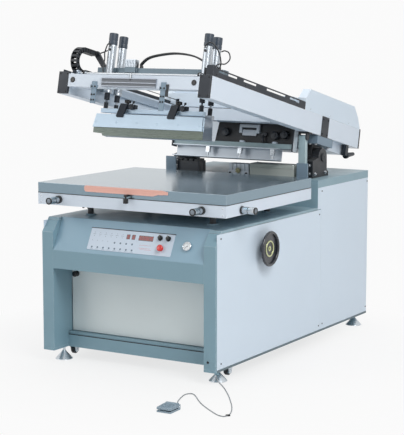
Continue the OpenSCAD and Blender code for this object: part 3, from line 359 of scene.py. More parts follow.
# %% Shader helpers
def screen(r, g, b):
    """A screen colour of 0 to 255 as the linear colour that a shader takes: divided by 255, curve undone."""
    c = np.array([r, g, b]) / 255
    c = np.where(c <= 0.04045, c / 12.92, ((c + 0.055) / 1.055) ** 2.4)
    return (float(c[0]), float(c[1]), float(c[2]), 1)


def fill(socket, value):
    """Links a socket to another node's output, or sets its value."""
    if isinstance(value, bpy.types.NodeSocket):
        socket.id_data.links.new(value, socket)
    else:
        socket.default_value = value


def fill_all(node, inputs):
    """Several inputs of one node, each by its name or number."""
    for key, value in dict(inputs).items():
        fill(node.inputs[key], value)
    return node


def add(tree, kind, inputs=(), **settings):
    """One new shader node with its settings and its inputs."""
    node = tree.nodes.new("ShaderNode" + kind)
    for key, value in settings.items():
        setattr(node, key, value)
    return fill_all(node, inputs)


def sums(tree, operation, a, b=0, clamp=False):
    return add(tree, "Math", {0: a, 1: b}, operation=operation, use_clamp=clamp).outputs[0]


def blended(tree, share, a, b):
    return add(tree, "Mix", {0: share, 6: a, 7: b}, data_type="RGBA").outputs[2]


def between(tree, value, low, high, to_low, to_high):
    """A value carried from one range to another, held at the ends."""
    return add(tree, "MapRange", {0: value, 1: low, 2: high, 3: to_low, 4: to_high}).outputs[0]


def axes_of(tree, source, output):
    """The x, y and z of a place or a direction that a node gives."""
    return add(tree, "SeparateXYZ", {0: add(tree, source).outputs[output]}).outputs


def noise(tree, scale, detail, stretch=None):
    """Cloudy values on object coordinates, drawn out by a stretch along the axes if one is given."""
    spot = add(tree, "TexCoord").outputs["Object"]
    if stretch is not None:
        spot = add(tree, "Mapping", {"Vector": spot, "Scale": stretch}).outputs[0]
    return add(tree, "TexNoise", {"Vector": spot, "Scale": scale, "Detail": detail}).outputs[0]


# %% [markdown]
# ## Effects that many finishes share
# Paint, metal and plastic differ in colour and gloss, but age in the same ways. Tone drifts a little over a
# large panel, dust settles on what faces up, paint thins on folded edges, and sprayed paint dries with a
# fine orange-peel skin. Each is a node group with its own inputs, so every finish sets how strong it is.

# %% Shared effects as node groups
SOCKETS = {"Color": "Color", "Dust": "Color", "Worn": "Color", "Stretch": "Vector", "Normal": "Vector"}


def effect(name, inputs, outputs):
    """An empty node group. Its inputs and outputs are words in a text, and each is a number unless SOCKETS
    gives it another kind."""
    tree = bpy.data.node_groups.new(name, "ShaderNodeTree")
    for words, way in ((inputs, "INPUT"), (outputs, "OUTPUT")):
        for word in words.split():
            kind = "NodeSocket" + SOCKETS.get(word, "Float")
            tree.interface.new_socket(word, in_out=way, socket_type=kind)
    return tree, tree.nodes.new("NodeGroupInput").outputs, tree.nodes.new("NodeGroupOutput").inputs


tree, given, out = effect("tone_drift", "Color Amount Scale", "Color")
lift = sums(tree, "MULTIPLY", sums(tree, "SUBTRACT", noise(tree, given["Scale"], 3), 0.5), given["Amount"])
level = sums(tree, "ADD", lift, 1)
fill(out["Color"],
    add(tree, "VectorMath", {0: given["Color"], "Scale": level}, operation="SCALE").outputs[0])

tree, given, out = effect("settled_dust", "Color Dust Amount", "Color")
up = axes_of(tree, "NewGeometry", "Normal")[2]
flat = between(tree, up, 0.6, 1, 0, 1)
cloud = between(tree, noise(tree, 9, 5), 0.35, 0.7, 0.2, 1)
share = sums(tree, "MULTIPLY", sums(tree, "MULTIPLY", flat, cloud), given["Amount"])
fill(out["Color"], blended(tree, share, given["Color"], given["Dust"]))

tree, given, out = effect("edge_wear", "Color Worn Amount", "Color Mask")
edge = add(tree, "Attribute", attribute_name="edge").outputs["Fac"]
chips = between(tree, noise(tree, 60, 4), 0.42, 0.62, 0.35, 1)
mask = sums(tree, "MULTIPLY", sums(tree, "MULTIPLY", edge, chips), given["Amount"], clamp=True)
fill(out["Color"], blended(tree, mask, given["Color"], given["Worn"]))
fill(out["Mask"], mask)

tree, given, out = effect("skin_bump", "Scale Strength", "Normal")
fill(out["Normal"], add(tree, "Bump", {"Height": noise(tree, given["Scale"], 2),
    "Strength": given["Strength"], "Distance": 0.001}).outputs[0])

tree, given, out = effect("brush_lines", "Stretch Strength", "Value Normal")
lines = noise(tree, 1, 3, given["Stretch"])
fill(out["Value"], lines)
fill(out["Normal"],
    add(tree, "Bump", {"Height": lines, "Strength": given["Strength"], "Distance": 0.0006}).outputs[0])
print("effects:", ", ".join(sorted(g.name for g in bpy.data.node_groups)))

# %% [markdown]
# ## Finishes
# One function writes an opaque finish from a maker's terms: its colour, how matt it is, whether it is
# metal, how much its tone drifts, how dusty and how worn it is, and either a sprayed skin or brush lines.
# Values that are the same all over are set on the shader itself.

# %% The finish function
def blank(name):
    """A new material, kept under its name, with its node tree and its shader."""
    made = FINISHES[name] = bpy.data.materials.new(name)
    made.use_nodes = True
    return made, made.node_tree, made.node_tree.nodes["Principled BSDF"]


def effect_node(tree, name, **inputs):
    return add(tree, "Group", inputs, node_tree=bpy.data.node_groups[name]).outputs


DUST = screen(196, 196, 192)


def finish(name, colour, matt, metal=0, drift=0.10, patch=5, dusty=0, worn=None, wear=0, skin=(700, 0.10),
        brushed=None, coat=0, spread=0.12):
    """An opaque finish. brushed is how far the grain is drawn out along x, y and z, and its strength."""
    made, tree, shader = blank(name)
    tone = effect_node(tree, "tone_drift", Color=screen(*colour), Amount=drift, Scale=patch)["Color"]
    if worn:
        tone = effect_node(tree, "edge_wear", Color=tone, Worn=screen(*worn), Amount=wear)["Color"]
    if dusty:
        tone = effect_node(tree, "settled_dust", Color=tone, Dust=DUST, Amount=dusty)["Color"]
    fill_all(shader, {"Base Color": tone, "Metallic": metal, "Coat Weight": coat})
    if brushed:
        grain = effect_node(tree, "brush_lines", Stretch=brushed[0], Strength=brushed[1])
        cloud = grain["Value"]
    else:
        grain = effect_node(tree, "skin_bump", Scale=skin[0], Strength=skin[1])
        cloud = noise(tree, 14, 4)
    rough = between(tree, cloud, 0.3, 0.7, matt - spread / 2, matt + spread / 2)
    fill_all(shader, {"Roughness": rough, "Normal": grain["Normal"]})
    return made


# %% Painted and moulded finishes
PALE = (214, 222, 226)
finish("frame_paint", (128, 160, 174), 0.42, worn=PALE, wear=0.35, dusty=0.1)
finish("deck_paint", (138, 166, 178), 0.38, worn=PALE, wear=0.35, dusty=0.15)
finish("panel_white", (214, 228, 241), 0.36, drift=0.05, patch=2.5, worn=(240, 243, 246), wear=0.5,
    dusty=0.05)
finish("door_paint", (222, 231, 232), 0.4, drift=0.06, patch=3, worn=PALE, wear=0.4)
finish("arm_white", (216, 227, 239), 0.34, drift=0.05, patch=3, worn=(246, 248, 250), wear=0.6, dusty=0.06)
finish("cast_black", (30, 33, 38), 0.45, drift=0.3, patch=14, worn=(120, 124, 128), wear=0.3,
    skin=(420, 0.35), dusty=0.1)
finish("units", (180, 186, 180), 0.42, drift=0.12, patch=8, worn=PALE, wear=0.4, dusty=0.12)
finish("motor_paint", (52, 56, 62), 0.4, drift=0.25, patch=12, worn=(120, 124, 130), wear=0.35,
    skin=(520, 0.25))
finish("gearbox_paint", (112, 117, 124), 0.45, drift=0.2, patch=12, worn=(180, 182, 186), wear=0.35,
    skin=(420, 0.35))
finish("pedal_paint", (138, 158, 172), 0.48, drift=0.15, patch=22, worn=PALE, wear=0.5, skin=(1500, 0.35),
    dusty=0.12)
finish("platform_paint", (44, 47, 52), 0.35, drift=0.25, patch=12, worn=(120, 124, 130), wear=0.3)
finish("knob_black", (20, 20, 22), 0.28, drift=0.3, patch=30, skin=(1600, 0.06), spread=0.16)
finish("wheel_black", (38, 42, 50), 0.24, drift=0.3, patch=18, skin=(900, 0.08), coat=0.3)
finish("stop_red", (214, 32, 26), 0.22, patch=40, skin=(1500, 0.03), coat=0.5)
finish("needle_black", (22, 22, 24), 0.5, drift=0.2, patch=60)
finish("roller_black", (44, 46, 50), 0.6, drift=0.3, patch=40, dusty=0.25)
finish("rubber_black", (24, 25, 28), 0.62, drift=0.35, patch=25, skin=(1200, 0.12))
finish("hose_black", (28, 30, 34), 0.34, drift=0.25, patch=30, skin=(1400, 0.04))
finish("chain_black", (34, 38, 44), 0.42, drift=0.3, patch=22, worn=(96, 100, 106), wear=0.5,
    skin=(1300, 0.12))
finish("cord_grey", (150, 154, 158), 0.55, drift=0.15, patch=30, skin=(1800, 0.08))
finish("trim_dark", (24, 32, 42), 0.48, drift=0.22, patch=9, worn=(128, 134, 140), wear=0.45,
    skin=(800, 0.1), dusty=0.06)
finish("overlay_film", (202, 215, 229), 0.42, drift=0.03, patch=12, skin=(2200, 0.05))
finish("key_blue", (104, 122, 138), 0.45, drift=0.15, patch=90, skin=(2200, 0.05))
print("painted and moulded finishes:", len(bpy.data.materials))

# %% Metal finishes
ALONG_X, ALONG_Y, ALONG_Z = (3, 900, 900), (900, 3, 900), (900, 900, 3)
finish("chrome", (214, 218, 222), 0.1, 1, drift=0.06, patch=12, skin=(300, 0.02), spread=0.08)
finish("ground_steel", (188, 192, 196), 0.26, 1, patch=12, brushed=(ALONG_X, 0.1))
finish("slide_plate", (160, 164, 168), 0.38, 1, drift=0.12, brushed=(ALONG_X, 0.15))
finish("rail_satin", (186, 198, 210), 0.34, 0.5, drift=0.08, patch=8, brushed=(ALONG_Y, 0.1),
    worn=(236, 238, 240), wear=0.6)
finish("rib_satin", (150, 156, 165), 0.34, 0.6, patch=10, brushed=(ALONG_X, 0.12), worn=(236, 238, 240),
    wear=0.6)
finish("channel_satin", (192, 200, 208), 0.38, 0.4, drift=0.08, patch=6, brushed=(ALONG_X, 0.1),
    worn=(240, 242, 244), wear=0.6, dusty=0.05)
finish("hanger_blue", (122, 142, 158), 0.42, 0.15, drift=0.12, patch=10, worn=(206, 214, 220), wear=0.6,
    brushed=(ALONG_Z, 0.1))
finish("dial_white", (244, 247, 249), 0.35, drift=0.02, patch=30)
finish("foot_zinc", (200, 207, 213), 0.3, 0.85, patch=18, brushed=(ALONG_Z, 0.06))
# The darker blue-grey below is painted shade for the base tray's side bands, as if they were set back in
# shadow.
finish("tray_side_shade", (96, 113, 121), 0.45, patch=9)
finish("face_grey", (128, 136, 144), 0.32, 0.9, patch=30)
finish("knob_silver", (196, 202, 207), 0.24, 1, drift=0.08, patch=20, brushed=(ALONG_Y, 0.12))
finish("cylinder_satin", (176, 183, 190), 0.28, 0.9, drift=0.06, patch=9, brushed=(ALONG_Z, 0.03))
finish("beam_grey", (104, 120, 130), 0.42, 0.35, drift=0.15, patch=8, brushed=(ALONG_X, 0.12),
    worn=(168, 178, 186), wear=0.6)
finish("holder_satin", (198, 218, 234), 0.4, 0.2, drift=0.08, patch=8, brushed=(ALONG_X, 0.1),
    worn=(240, 242, 244), wear=0.6)
finish("flood_steel", (172, 178, 186), 0.32, 0.6, drift=0.12, patch=7, brushed=(ALONG_X, 0.12),
    worn=(236, 238, 240), wear=0.5)
finish("rod_steel", (112, 120, 128), 0.2, 0.9, patch=20, brushed=(ALONG_Z, 0.08))
finish("strut_paint", (170, 192, 198), 0.4, drift=0.08, patch=8, worn=PALE, wear=0.4, dusty=0.06)
finish("cap_blue", (56, 67, 80), 0.38, drift=0.2, patch=14, worn=(128, 138, 148), wear=0.4, skin=(700, 0.1))
finish("dull_bronze", (150, 148, 118), 0.4, 0.5, drift=0.15, patch=30, skin=(900, 0.04))
# The carrier grey is darker than the channel's finish: painted shade for the carrier bar's face under the
# head.
finish("carrier_shade_grey", (152, 172, 176), 0.42, drift=0.12, patch=7, worn=PALE, wear=0.5, dusty=0.08)
# The console paint's pale worn colour at strong wear is meant both as wear and as a painted highlight along
# the slope's fold edges. The slope piece has no marked edges, so neither shows.
finish("console_paint", (136, 168, 186), 0.36, drift=0.08, patch=4, worn=(196, 214, 224), wear=0.9,
    dusty=0.06)
print("all finishes so far:", len(bpy.data.materials))

# %% [markdown]
# ## Pedal cord
# The foot pedal hangs on a thin grey cable that wanders over the floor from the pedal's back to a gland
# under the base tray. The photograph shows it from end to end, so its length is what its route measures.
# The cord is a tube on a smooth curve through listed points, and it lies on the floor except where it
# climbs to the gland.

# %% Cord, its gland sleeve and its clip
cord_route = smooth(np.array([[507, -397, 9], [506, -384, 8], [500, -368, 5], [489, -349, 3],
    [475, -329, 3], [461, -305, 3], [447, -272, 3], [436, -237, 3], [427, -204, 3], [427, -180, 3],
    [438, -166, 3], [455, -170, 3], [480, -194, 3], [521, -241, 3], [566, -288, 3], [611, -327, 3],
    [662, -367, 3], [705, -397, 3], [735, -405, 3], [746, -384, 3], [731, -332, 3], [697, -267, 3],
    [656, -204, 3], [595, -117, 3], [533, -37, 3], [498, 4, 3], [476, 25, 5], [461, 31, 12], [452, 31, 24],
    [450, 30, 35], [450, 30, 45]]), 6)
CORD_D, SLEEVE_POINTS, CLIP_POINT = 5, 9, 114
cord = on_cabinet("cord", tube(cord_route, CORD_D / 2, 14), "cord", "pedal_cord", paint="cord_grey")
sleeve_path = cord_route[:SLEEVE_POINTS]
sleeve = on_cabinet("cord_sleeve", tube(sleeve_path, np.linspace(5.5, 3, len(sleeve_path)), 16), "cord",
    paint="rubber_black")
gland = on_cabinet("cord_gland", moved(lathe([(3.2, 0), (7, 2), (9, 6), (9, 13), (6, 13.5)], 12),
    [450, 30, 43.5]), "cord", paint="rubber_black")
clip = on_cabinet("cord_clip", placed(box(-5, 5, -9, 9, -2.5, 4.5, 1.5), cord_route[CLIP_POINT], "z", -38),
    "cord", paint="rubber_black")

# %% [markdown]
# ## Floor and light
# A studio picture on white: the floor is pale and the world is white where the camera sees it. The lamps
# stay at a level where a colour looks about as it is written. A broad lamp from the front right models the
# white panels, and a weaker one from the left keeps the shadows open.

# %% Floor, world and lamps
floor_mesh = bpy.data.meshes.new("floor")
floor_mesh.from_pydata([(-30, -30, 0), (30, -30, 0), (30, 30, 0), (-30, 30, 0)], [], [(0, 1, 2, 3)])
floor = linked("floor", floor_mesh)
floor_finish, tree, floor_shader = blank("floor_white")
WHITE, NEARLY_WHITE = (1, 1, 1, 1), 0.96
fill_all(floor_shader, {"Base Color": (0.92, 0.92, 0.92, 1), "Roughness": 0.9})
glow = add(tree, "Emission", {"Color": WHITE, "Strength": NEARLY_WHITE})
seen = add(tree, "LightPath").outputs
spot = add(tree, "TexCoord").outputs["Object"]
away = add(tree, "VectorMath", {0: spot}, operation="LENGTH").outputs["Value"]
part = sums(tree, "MULTIPLY", sums(tree, "MAXIMUM", seen["Is Camera Ray"], seen["Is Glossy Ray"]),
    between(tree, away, 0.5, 1.4, 0.78, 1))
fill(tree.nodes["Material Output"].inputs[0],
    add(tree, "MixShader", {0: part, 1: floor_shader.outputs[0], 2: glow.outputs[0]}).outputs[0])
floor_mesh.materials.append(floor_finish)

world = bpy.data.worlds.new("studio")
bpy.context.scene.world = world
world.use_nodes = True
tree = world.node_tree
seen = add(tree, "LightPath").outputs
direct = sums(tree, "MAXIMUM", sums(tree, "MAXIMUM", seen["Is Camera Ray"], seen["Is Glossy Ray"]),
    seen["Is Transmission Ray"])
AMBIENT = 0.27
seen_as = between(tree, direct, 0, 1, AMBIENT, NEARLY_WHITE)
fill_all(tree.nodes["Background"], {"Color": WHITE, "Strength": seen_as})
bpy.context.scene.view_settings.view_transform = "Standard"


def lamp(name, at, towards, size, watts):
    """A square lamp at one machine point that faces another."""
    made = linked(name, bpy.data.lights.new(name, "AREA"))
    made.data.size, made.data.energy = size, watts
    made.location = machine(at)
    aim = machine(towards) - machine(at)
    made.rotation_euler = (math.atan2(math.hypot(aim[0], aim[1]), -aim[2]), 0, math.atan2(-aim[0], aim[1]))


MIDDLE = [0, 500, 700]
lamp("key_lamp", [4200, -1800, 4600], MIDDLE, 3, 205)
lamp("fill_lamp", [-3800, -3600, 3000], MIDDLE, 3.5, 72)
lamp("top_lamp", [-400, 1500, 5200], MIDDLE, 4, 82)


# %% [markdown]
# ## Cabinet
# The cabinet is folded and welded sheet metal: a base tray, corner posts, a deck that steps up at the back
# and a console box between the front posts. The exact solids already have these folds, so each is copied
# with its edges rounded. That is closer to pressed steel than a shape drawn afresh would be.

# %% Sheet metal
softened("base_tray", 1.5, "frame_paint")
softened("frame_posts", 2, "frame_paint")
softened("frame_rails", 1.5, "frame_paint")
softened("front_deck", 2.2, "deck_paint")
softened("rear_deck", 0.8, "deck_paint")
softened("console_box", 0.8, "deck_paint", paint="frame_paint")
softened("cabinet_panels", 0.8, "panel_white")
softened("front_door", 1.5, "door_paint")
for node, paint in (("cabinet_units", "units"), ("lift_gearmotor", "motor_paint"),
        ("lift_gearbox", "gearbox_paint")):
    frame["nodes"][node].data.materials.clear()
    frame["nodes"][node].data.materials.append(FINISHES[paint])

# %% Screws on the panels and the leg
def cap_head(r, h, sides=16):
    """A cap screw's head: a turned disc with a bevelled rim and a socket sunk to half its height."""
    return lathe([(r * 0.94, 0), (r, 0.25), (r, h - 0.22 * r), (r * 0.78, h), (r * 0.5, h),
        (r * 0.46, h * 0.45)], sides)


SIDE_X = 462.5
side_screw = spun(cap_head(3.6, 2.2, 12), "y")
side_spots = [[SIDE_X, y, z] for y, z in [(44, 640), (46, 91), (990, 638), (990, 89), (1015, 750),
    (1030, 93), (1535, 750), (1535, 93)]]
on_cabinet("panel_screws", mirrored(copies(side_screw, side_spots)), "cast_black")
back_screw = spun(cap_head(3.6, 2, 12), "x", -90)
back_spots = grid((-430, 0, 430), 1547, (90, 750))
on_cabinet("back_screws", moved(copies(back_screw, back_spots), [0, -0.6, 0]), "chrome")
on_cabinet("leg_bolt", placed(cap_head(5.5, 3.5), [424, 0.2, 102]), "cast_black")
LEG_IN, LEG_BACK = 402.5, 112
on_cabinet("recess_liner", mirrored(box(LEG_IN + 0.1, LEG_IN + 2.5, LEG_BACK - 0.4, 145.4, 128, 441, 0.4)),
    "frame_paint")
# A thin black strip along the sill's front edge, in the rubber finish: painted shade for the shadow gap
# between the sill and the kick plate.
on_cabinet("sill_strip", box(-401, 401, 112.6, 117.8, 112.6, 115.6, 0.5), "roller", paint="rubber_black")
# Thin darker skins on the base tray's sides: painted shade for a shadowed band below the panels.
on_cabinet("tray_edges", mirrored(box(SIDE_X - 1.1, SIDE_X + 0.2, 12, 1548, 57.3, 67.7, 0.4)),
    "frame_paint", paint="tray_side_shade")

# %% [markdown]
# ## Feet and rollers
# The machine stands on four cone-shaped zinc-plated feet and can be rolled on two small wheels in forks. A
# foot is turned: one profile from its rim up to its stem, swept round. The nut is the same with six sides.

# %% Feet and rollers
FEET = grid((-418, 418), (97, 1490), 0)
bell = lathe([(37, 0), (40.2, 0), (41, 0.8), (41, 2.4), (40.2, 3.4), (33.4, 10.4), (24, 20.4), (15, 30.4),
    (8.6, 38), (6.8, 41), (6.2, 43), (6.2, 51.5)], 40)
nut = lathe([(6, 51), (9.4, 51.2), (9.9, 52), (9.9, 55.6), (9.4, 56.6), (6, 56.8)], 6)
stud = lathe([(8, 56), (8, 67.8)], 20)
on_cabinet("feet", copies(joined(bell, nut, stud), FEET), "chrome", "levelling_feet", paint="foot_zinc")

tyre = lathe([(4.05, -9), (11, -9), (12, -8), (16.5, -8), (17.5, -9), (19, -8.8), (20.5, -6.5), (20.5, 6.5),
    (19, 8.8), (17.5, 9), (16.5, 8), (12, 8), (11, 9), (4.05, 9)], 36, closed=True)
fork = prism([(136, 57.2), (186, 57.2), (180, 50), (171, 23), (151, 23), (145, 44)], 0, 1.4, (2, 0, 1))
for side, x in (("left", -402), ("right", 429.5)):
    make(machine, f"roller_{side}", f"wheel_{side}", placed(tyre, [x, 160, 35], "y"), "roller",
        f"roller_{side}", paint="roller_black")
    forks = joined(copies(fork, [[x + 13.2, 0, 0], [x - 14.6, 0, 0]]),
        placed(cap_head(6, 2.5), [x + 14.4, 160, 35], "y"))
    on_cabinet(f"castor_fork_{side}", forks, "frame_paint", paint="foot_zinc")

# %% [markdown]
# ## Control panel
# The console slope carries a pale printed film with a red number display, two one-digit displays, round
# membrane keys, two rotary selectors and a mushroom stop button. Each key is a slight dome under the film.
# The print is kept to plain bars and dots, because only their rhythm shows at this distance.

# %% Film, keys and marks
on_console("panel_film", box(-219, 227, 21, 124, 0, 3, 0.6, 5), "overlay", "control_overlay",
    paint="overlay_film")
# The slope's finish carries a pale edge colour meant as painted highlight as well as wear. This piece has no
# marked edges, so it stays plain.
on_console("console_slope", box(-400, 400, 2, 164, -0.1, 0.9, 0.4, 3), "deck_paint", paint="console_paint")
on_console("panel_lip", box(-221, 229, 123.4, 126.6, 0, 4.2, 0.5), "gauge", paint="trim_dark")
key = lathe([(4.6, 2.9), (4.5, 3.3), (3.6, 3.75), (1.8, 3.95), (0.3, 4)], 16)
KEY_ROW = grid(np.linspace(-194, 22, 8), 34, 0) + grid(np.linspace(-78, 16, 4), 62, 0)
on_console("membrane_keys", copies(key, KEY_ROW), "gauge", paint="key_blue")
dot = lathe([(1.5, 2.9), (1.5, 3.4), (0.9, 3.6)], 10)
bar = box(-8, 8, -0.5, 0.5, 2.9, 3.25, 0.1)
DOTS = [[x, v, 0] for v in (104, 88) for x in np.linspace(-196, -44, 6)]
DOTS += grid((-200, -172, -144, -116), 66, 0)
BARS = grid(np.linspace(-194, 22, 8), 25.5, 0) + grid(np.linspace(-196, -44, 6), 96, 0)
on_console("panel_marks", joined(copies(dot, DOTS), copies(bar, BARS)), "gauge", paint="key_blue")
line = box(-30, 30, -0.4, 0.4, 2.9, 3.2, 0.1)
on_console("panel_red_marks", copies(line, [[84, 62, 0], [84, 48, 0], [92, 42, 0]]), "stop_red")

# %% Displays
finish("window_red", (72, 12, 20), 0.12, drift=0.2, patch=60, skin=(900, 0.01), coat=0.6)
_, tree, lit = blank("digit_red")
glow_level = noise(tree, 90, 1)
fill_all(lit, {"Base Color": blended(tree, glow_level, screen(170, 20, 24), screen(214, 34, 30)),
    "Emission Color": blended(tree, glow_level, screen(190, 20, 24), screen(220, 40, 34)),
    "Emission Strength": 0.12})
WINDOWS = [(-22, -4, 84, 107), (6, 24, 84, 107), (43, 119, 83, 107)]
on_console("display_windows", blocks(*[(x0, x1, v0, v1, 2.8, 4, 0.4, 1.2) for x0, x1, v0, v1 in WINDOWS]),
    "stop_red", paint="window_red")
stroke = blocks(*[(-3.2, 3.2, v - 0.6, v + 0.6, 3.95, 4.2, 0.1) for v in (-7, 0, 7)],
    *[(x - 0.6, x + 0.6, v - 2.6, v + 2.6, 3.95, 4.2, 0.1) for x in (-4, 4) for v in (-3.5, 3.5)])
DIGITS = [[-13, 95.5, 0], [15, 95.5, 0]] + grid(np.linspace(50, 112, 6), 95, 0)
on_console("display_digits", copies(stroke, DIGITS), "stop_red", paint="digit_red")

# %% Selectors and stop button
def knob_flutes(r, h0, h1, count, depth, sides):
    """A fluted knob: a circle whose radius dips by depth along count waves, with rounded rims."""
    a = np.linspace(0, 2 * np.pi, sides, endpoint=False)
    rise = h1 - h0
    profile = [(0.93, h0), (1, h0 + 0.08 * rise), (1, h1 - 0.16 * rise), (0.95, h1 - 0.04 * rise),
        (0.86, h1)]
    return lathe(profile, sides, wave=r - depth * (0.5 + 0.5 * np.cos(count * a)))


finish("pointer_white", (232, 232, 230), 0.5, patch=80)
skirt = lathe([(4, -13.5), (4, 3.3), (11.2, 3.3), (12, 4), (12, 6.5), (11, 8.8), (9, 9)], 40)
grip = box(-3.2, 3.2, -11.3, 11.3, 8.5, 19.6, 1.2, 2.8)
mark = box(-0.5, 0.5, 3, 10.6, 19.4, 19.9, 0.1)
selector = joined(skirt, knob_flutes(9, 8.8, 17, 10, 0.7, 60), grip)
for node, x in (("selector_left", 155), ("selector_right", 197)):
    make(slope, node, f"{node}_knob", moved(selector, [x, 102, 0]), "knob_black", node)
    make(slope, node, f"{node}_mark", moved(mark, [x, 102, 0]), "knob_black", paint="pointer_white")
STOP_AT = [171, 54, 0]
mushroom = lathe([(6, -13.5), (6, 13.8), (11, 14.2), (14.3, 14), (15, 15), (15, 17.2), (14.2, 19.4),
    (12.2, 21.2), (9, 22.4), (5, 22.9), (0.6, 23)], 48)
make(slope, "stop_button", "stop_mushroom", moved(mushroom, STOP_AT), "stop_red", "stop_button")
on_console("stop_collar", moved(lathe([(11, 2.8), (11, 8.2), (10.2, 9), (7.5, 9), (6.06, 8.4), (6.06, 2.8)],
    40, closed=True), STOP_AT), "stop_red")

# %% [markdown]
# ## Gauge
# A small pressure gauge stands beside the film. Its case is turned with a bright bezel round a white dial,
# a ring of tick marks, and a flat glass over a tapered needle that turns on the dial's centre.

# %% Gauge
GAUGE_AT = [302, 75, 0]
on_console("gauge_bezel", moved(lathe([(17.5, -22), (17.5, 0), (21.5, 0), (21.5, 10), (20.8, 11.6),
    (19.6, 12), (18.7, 11.4), (18.5, 6.1), (18, 6), (1, 6)], 56), GAUGE_AT), "chrome", "gauge_case")
on_console("gauge_dial", moved(lathe([(18.2, 5.9), (18.2, 6.5), (17.8, 6.6), (1.7, 6.6), (1.7, 5.9)], 56,
    closed=True), GAUGE_AT), "overlay", paint="dial_white")
tick = box(-0.35, 0.35, 13.2, 16.6, 6.5, 6.75, 0.05)
ticks = joined(*[spun(tick, "z", a) for a in np.linspace(-135, 135, 11)])
on_console("gauge_ticks", moved(ticks, GAUGE_AT), "needle", paint="needle_black")
needle = prism([(-0.95, -4.5), (0.95, -4.5), (0.5, 14.5), (0, 15.5), (-0.5, 14.5)], 7.5, 8.3)
hub = lathe([(1.5, 3.1), (1.5, 7.4), (2.4, 7.5), (2.4, 9), (1.2, 9.4)], 20)
make(slope, "gauge_needle", "needle", moved(joined(spun(needle, "z", 135), hub), GAUGE_AT), "needle",
    "gauge_needle", paint="needle_black")
_, tree, clear = blank("gauge_glass")
smear = between(tree, noise(tree, 60, 3), 0.4, 0.7, 0, 0.06)
fill_all(clear, {"Base Color": (0.9, 0.94, 0.95, 1), "Alpha": 0.14, "Roughness": smear})
on_console("gauge_glass", moved(lathe([(18.6, 10.4), (18.6, 11.2), (18.2, 11.4), (0.5, 11.4)], 48),
    GAUGE_AT), "gauge", paint="gauge_glass")

# %% Door knob
knob_profile = [(6.05, 0.4), (13, 0.4), (13.4, 1.5), (12.4, 3.5), (9, 6), (8.6, 10), (11, 14), (13.2, 17),
    (13.5, 20), (12.8, 23.2), (10, 25.4), (4, 26), (0.5, 26)]
spindle = box(-5, 5, -5, 5, -23.5, 0.5, 0.8)
cam = box(-6, 6, -6, 32, -24, -19.2, 0.8, 3)
door_knob = joined(lathe(knob_profile, 40), spindle, cam)
make(machine, "door_knob", "door_latch", placed(door_knob, [-373, 146, 400]), "knob_black", "door_knob")

# %% [markdown]
# ## On the rear deck
# Behind the table stand the cast bearing blocks of the pivot shaft and a row of small units: a valve block,
# a dark connector block and a junction box. The blocks come from their solids, and the units are built up
# from rounded boxes, with the valves, fittings and cover screws that such units carry.

# %% Bearing blocks and deck units
softened("bearing_housings", 2.5, "cast_black")
DECK_Z = 805
foot_bolt = joined(lathe([(9, 0), (9, 1.6), (6, 1.7)], 20), moved(cap_head(6.5, 6.5), [0, 0, 1.6]))
flange_bolts = mirrored(joined(copies(spun(foot_bolt, "x"), [[380, 1040.2, DECK_Z + h] for h in (22, 62)]),
    copies(spun(foot_bolt, "y"), grid(399.8, (1062, 1172), DECK_Z + 20))))
on_cabinet("bearing_bolts", flange_bolts, "chrome", paint="ground_steel")
plates = mirrored(box(345, 405, 971.2, 979, DECK_Z, 884, 1))
on_cabinet("corner_plates", plates, "units", "deck_units", paint="hanger_blue")
VALVES = [-44, -21, 2, 25, 48]
valve = blocks((-46, 72, 985, 1045, DECK_Z, DECK_Z + 24, 1.5),
    *[(x, x + 21, 990, 1042, DECK_Z + 23, DECK_Z + 58, 2.5) for x in VALVES])
on_cabinet("valve_block", valve, "units", paint="channel_satin")
fitting = lathe([(3.5, 0), (5.2, 0.2), (5.2, 5), (4.2, 5.4), (4.2, 9), (3.4, 10)], 16)
on_cabinet("valve_fittings", copies(spun(fitting, "x"),
    [[x + 10.5, 985.3, DECK_Z + 12] for x in VALVES[::4]]), "cast_black", paint="knob_black")
regulator = joined(lathe([(9, -6), (9, 6), (7, 7)], 20), knob_flutes(15.5, 4, 11, 6, 5, 72),
    moved(cap_head(4, 2), [0, 0, 11]))
on_cabinet("air_regulator", placed(regulator, [13, 988, DECK_Z + 24]), "units", paint="dull_bronze")
on_cabinet("deck_stem", blocks((-200, -188, 985, 1001, DECK_Z, DECK_Z + 60, 2),
    (-206, -182, 983, 1003, DECK_Z, DECK_Z + 5, 1.5)), "cast_black")
dark = blocks((-350, -220, 990, 1060, DECK_Z, DECK_Z + 58, 3),
    *[(-346 + 32 * i, -322 + 32 * i, 994, 1056, DECK_Z + 56, DECK_Z + 68, 2) for i in range(4)])
on_cabinet("connector_block", dark, "motor", paint="motor_paint")
junction = blocks((80, 325, 980, 1055, DECK_Z, DECK_Z + 46, 2.5),
    (78.5, 326.5, 978.5, 1056.5, DECK_Z + 44, DECK_Z + 65, 3, 6))
on_cabinet("junction_box", junction, "units")
on_cabinet("junction_screws", copies(cap_head(3.6, 2, 12), grid((88, 317), (988, 1047), DECK_Z + 64.6)),
    "chrome")
print("cabinet dressed")

# %% [markdown]
# ## Foot pedal
# A pressed base with two cheeks carries a hinged treadle. Both are small pressings, so their solids are
# copied with rounded edges, and the treadle gets the rubber ribs that keep a shoe from slipping.

# %% Foot pedal
softened("pedal_base", 0.8, "pedal_paint")
softened("pedal_treadle", 1.2, "pedal_paint")
rib = box(-24, 24, -1.2, 1.2, -0.5, 1.1, 0.5)
make(pedal, "treadle", "treadle_ribs",
    copies(rib, [[0, y, 21 + (y + 37) * 0.0986] for y in np.linspace(-32, 14, 8)]), "pedal_paint")
pin_end = joined(*[placed(cap_head(3.4, 1.2, 12), [side * 33, 30, 14], "y", 90 * side) for side in (-1, 1)])
make(pedal, "cabinet", "pedal_pin_ends", pin_end, "pedal_paint", paint="chrome")

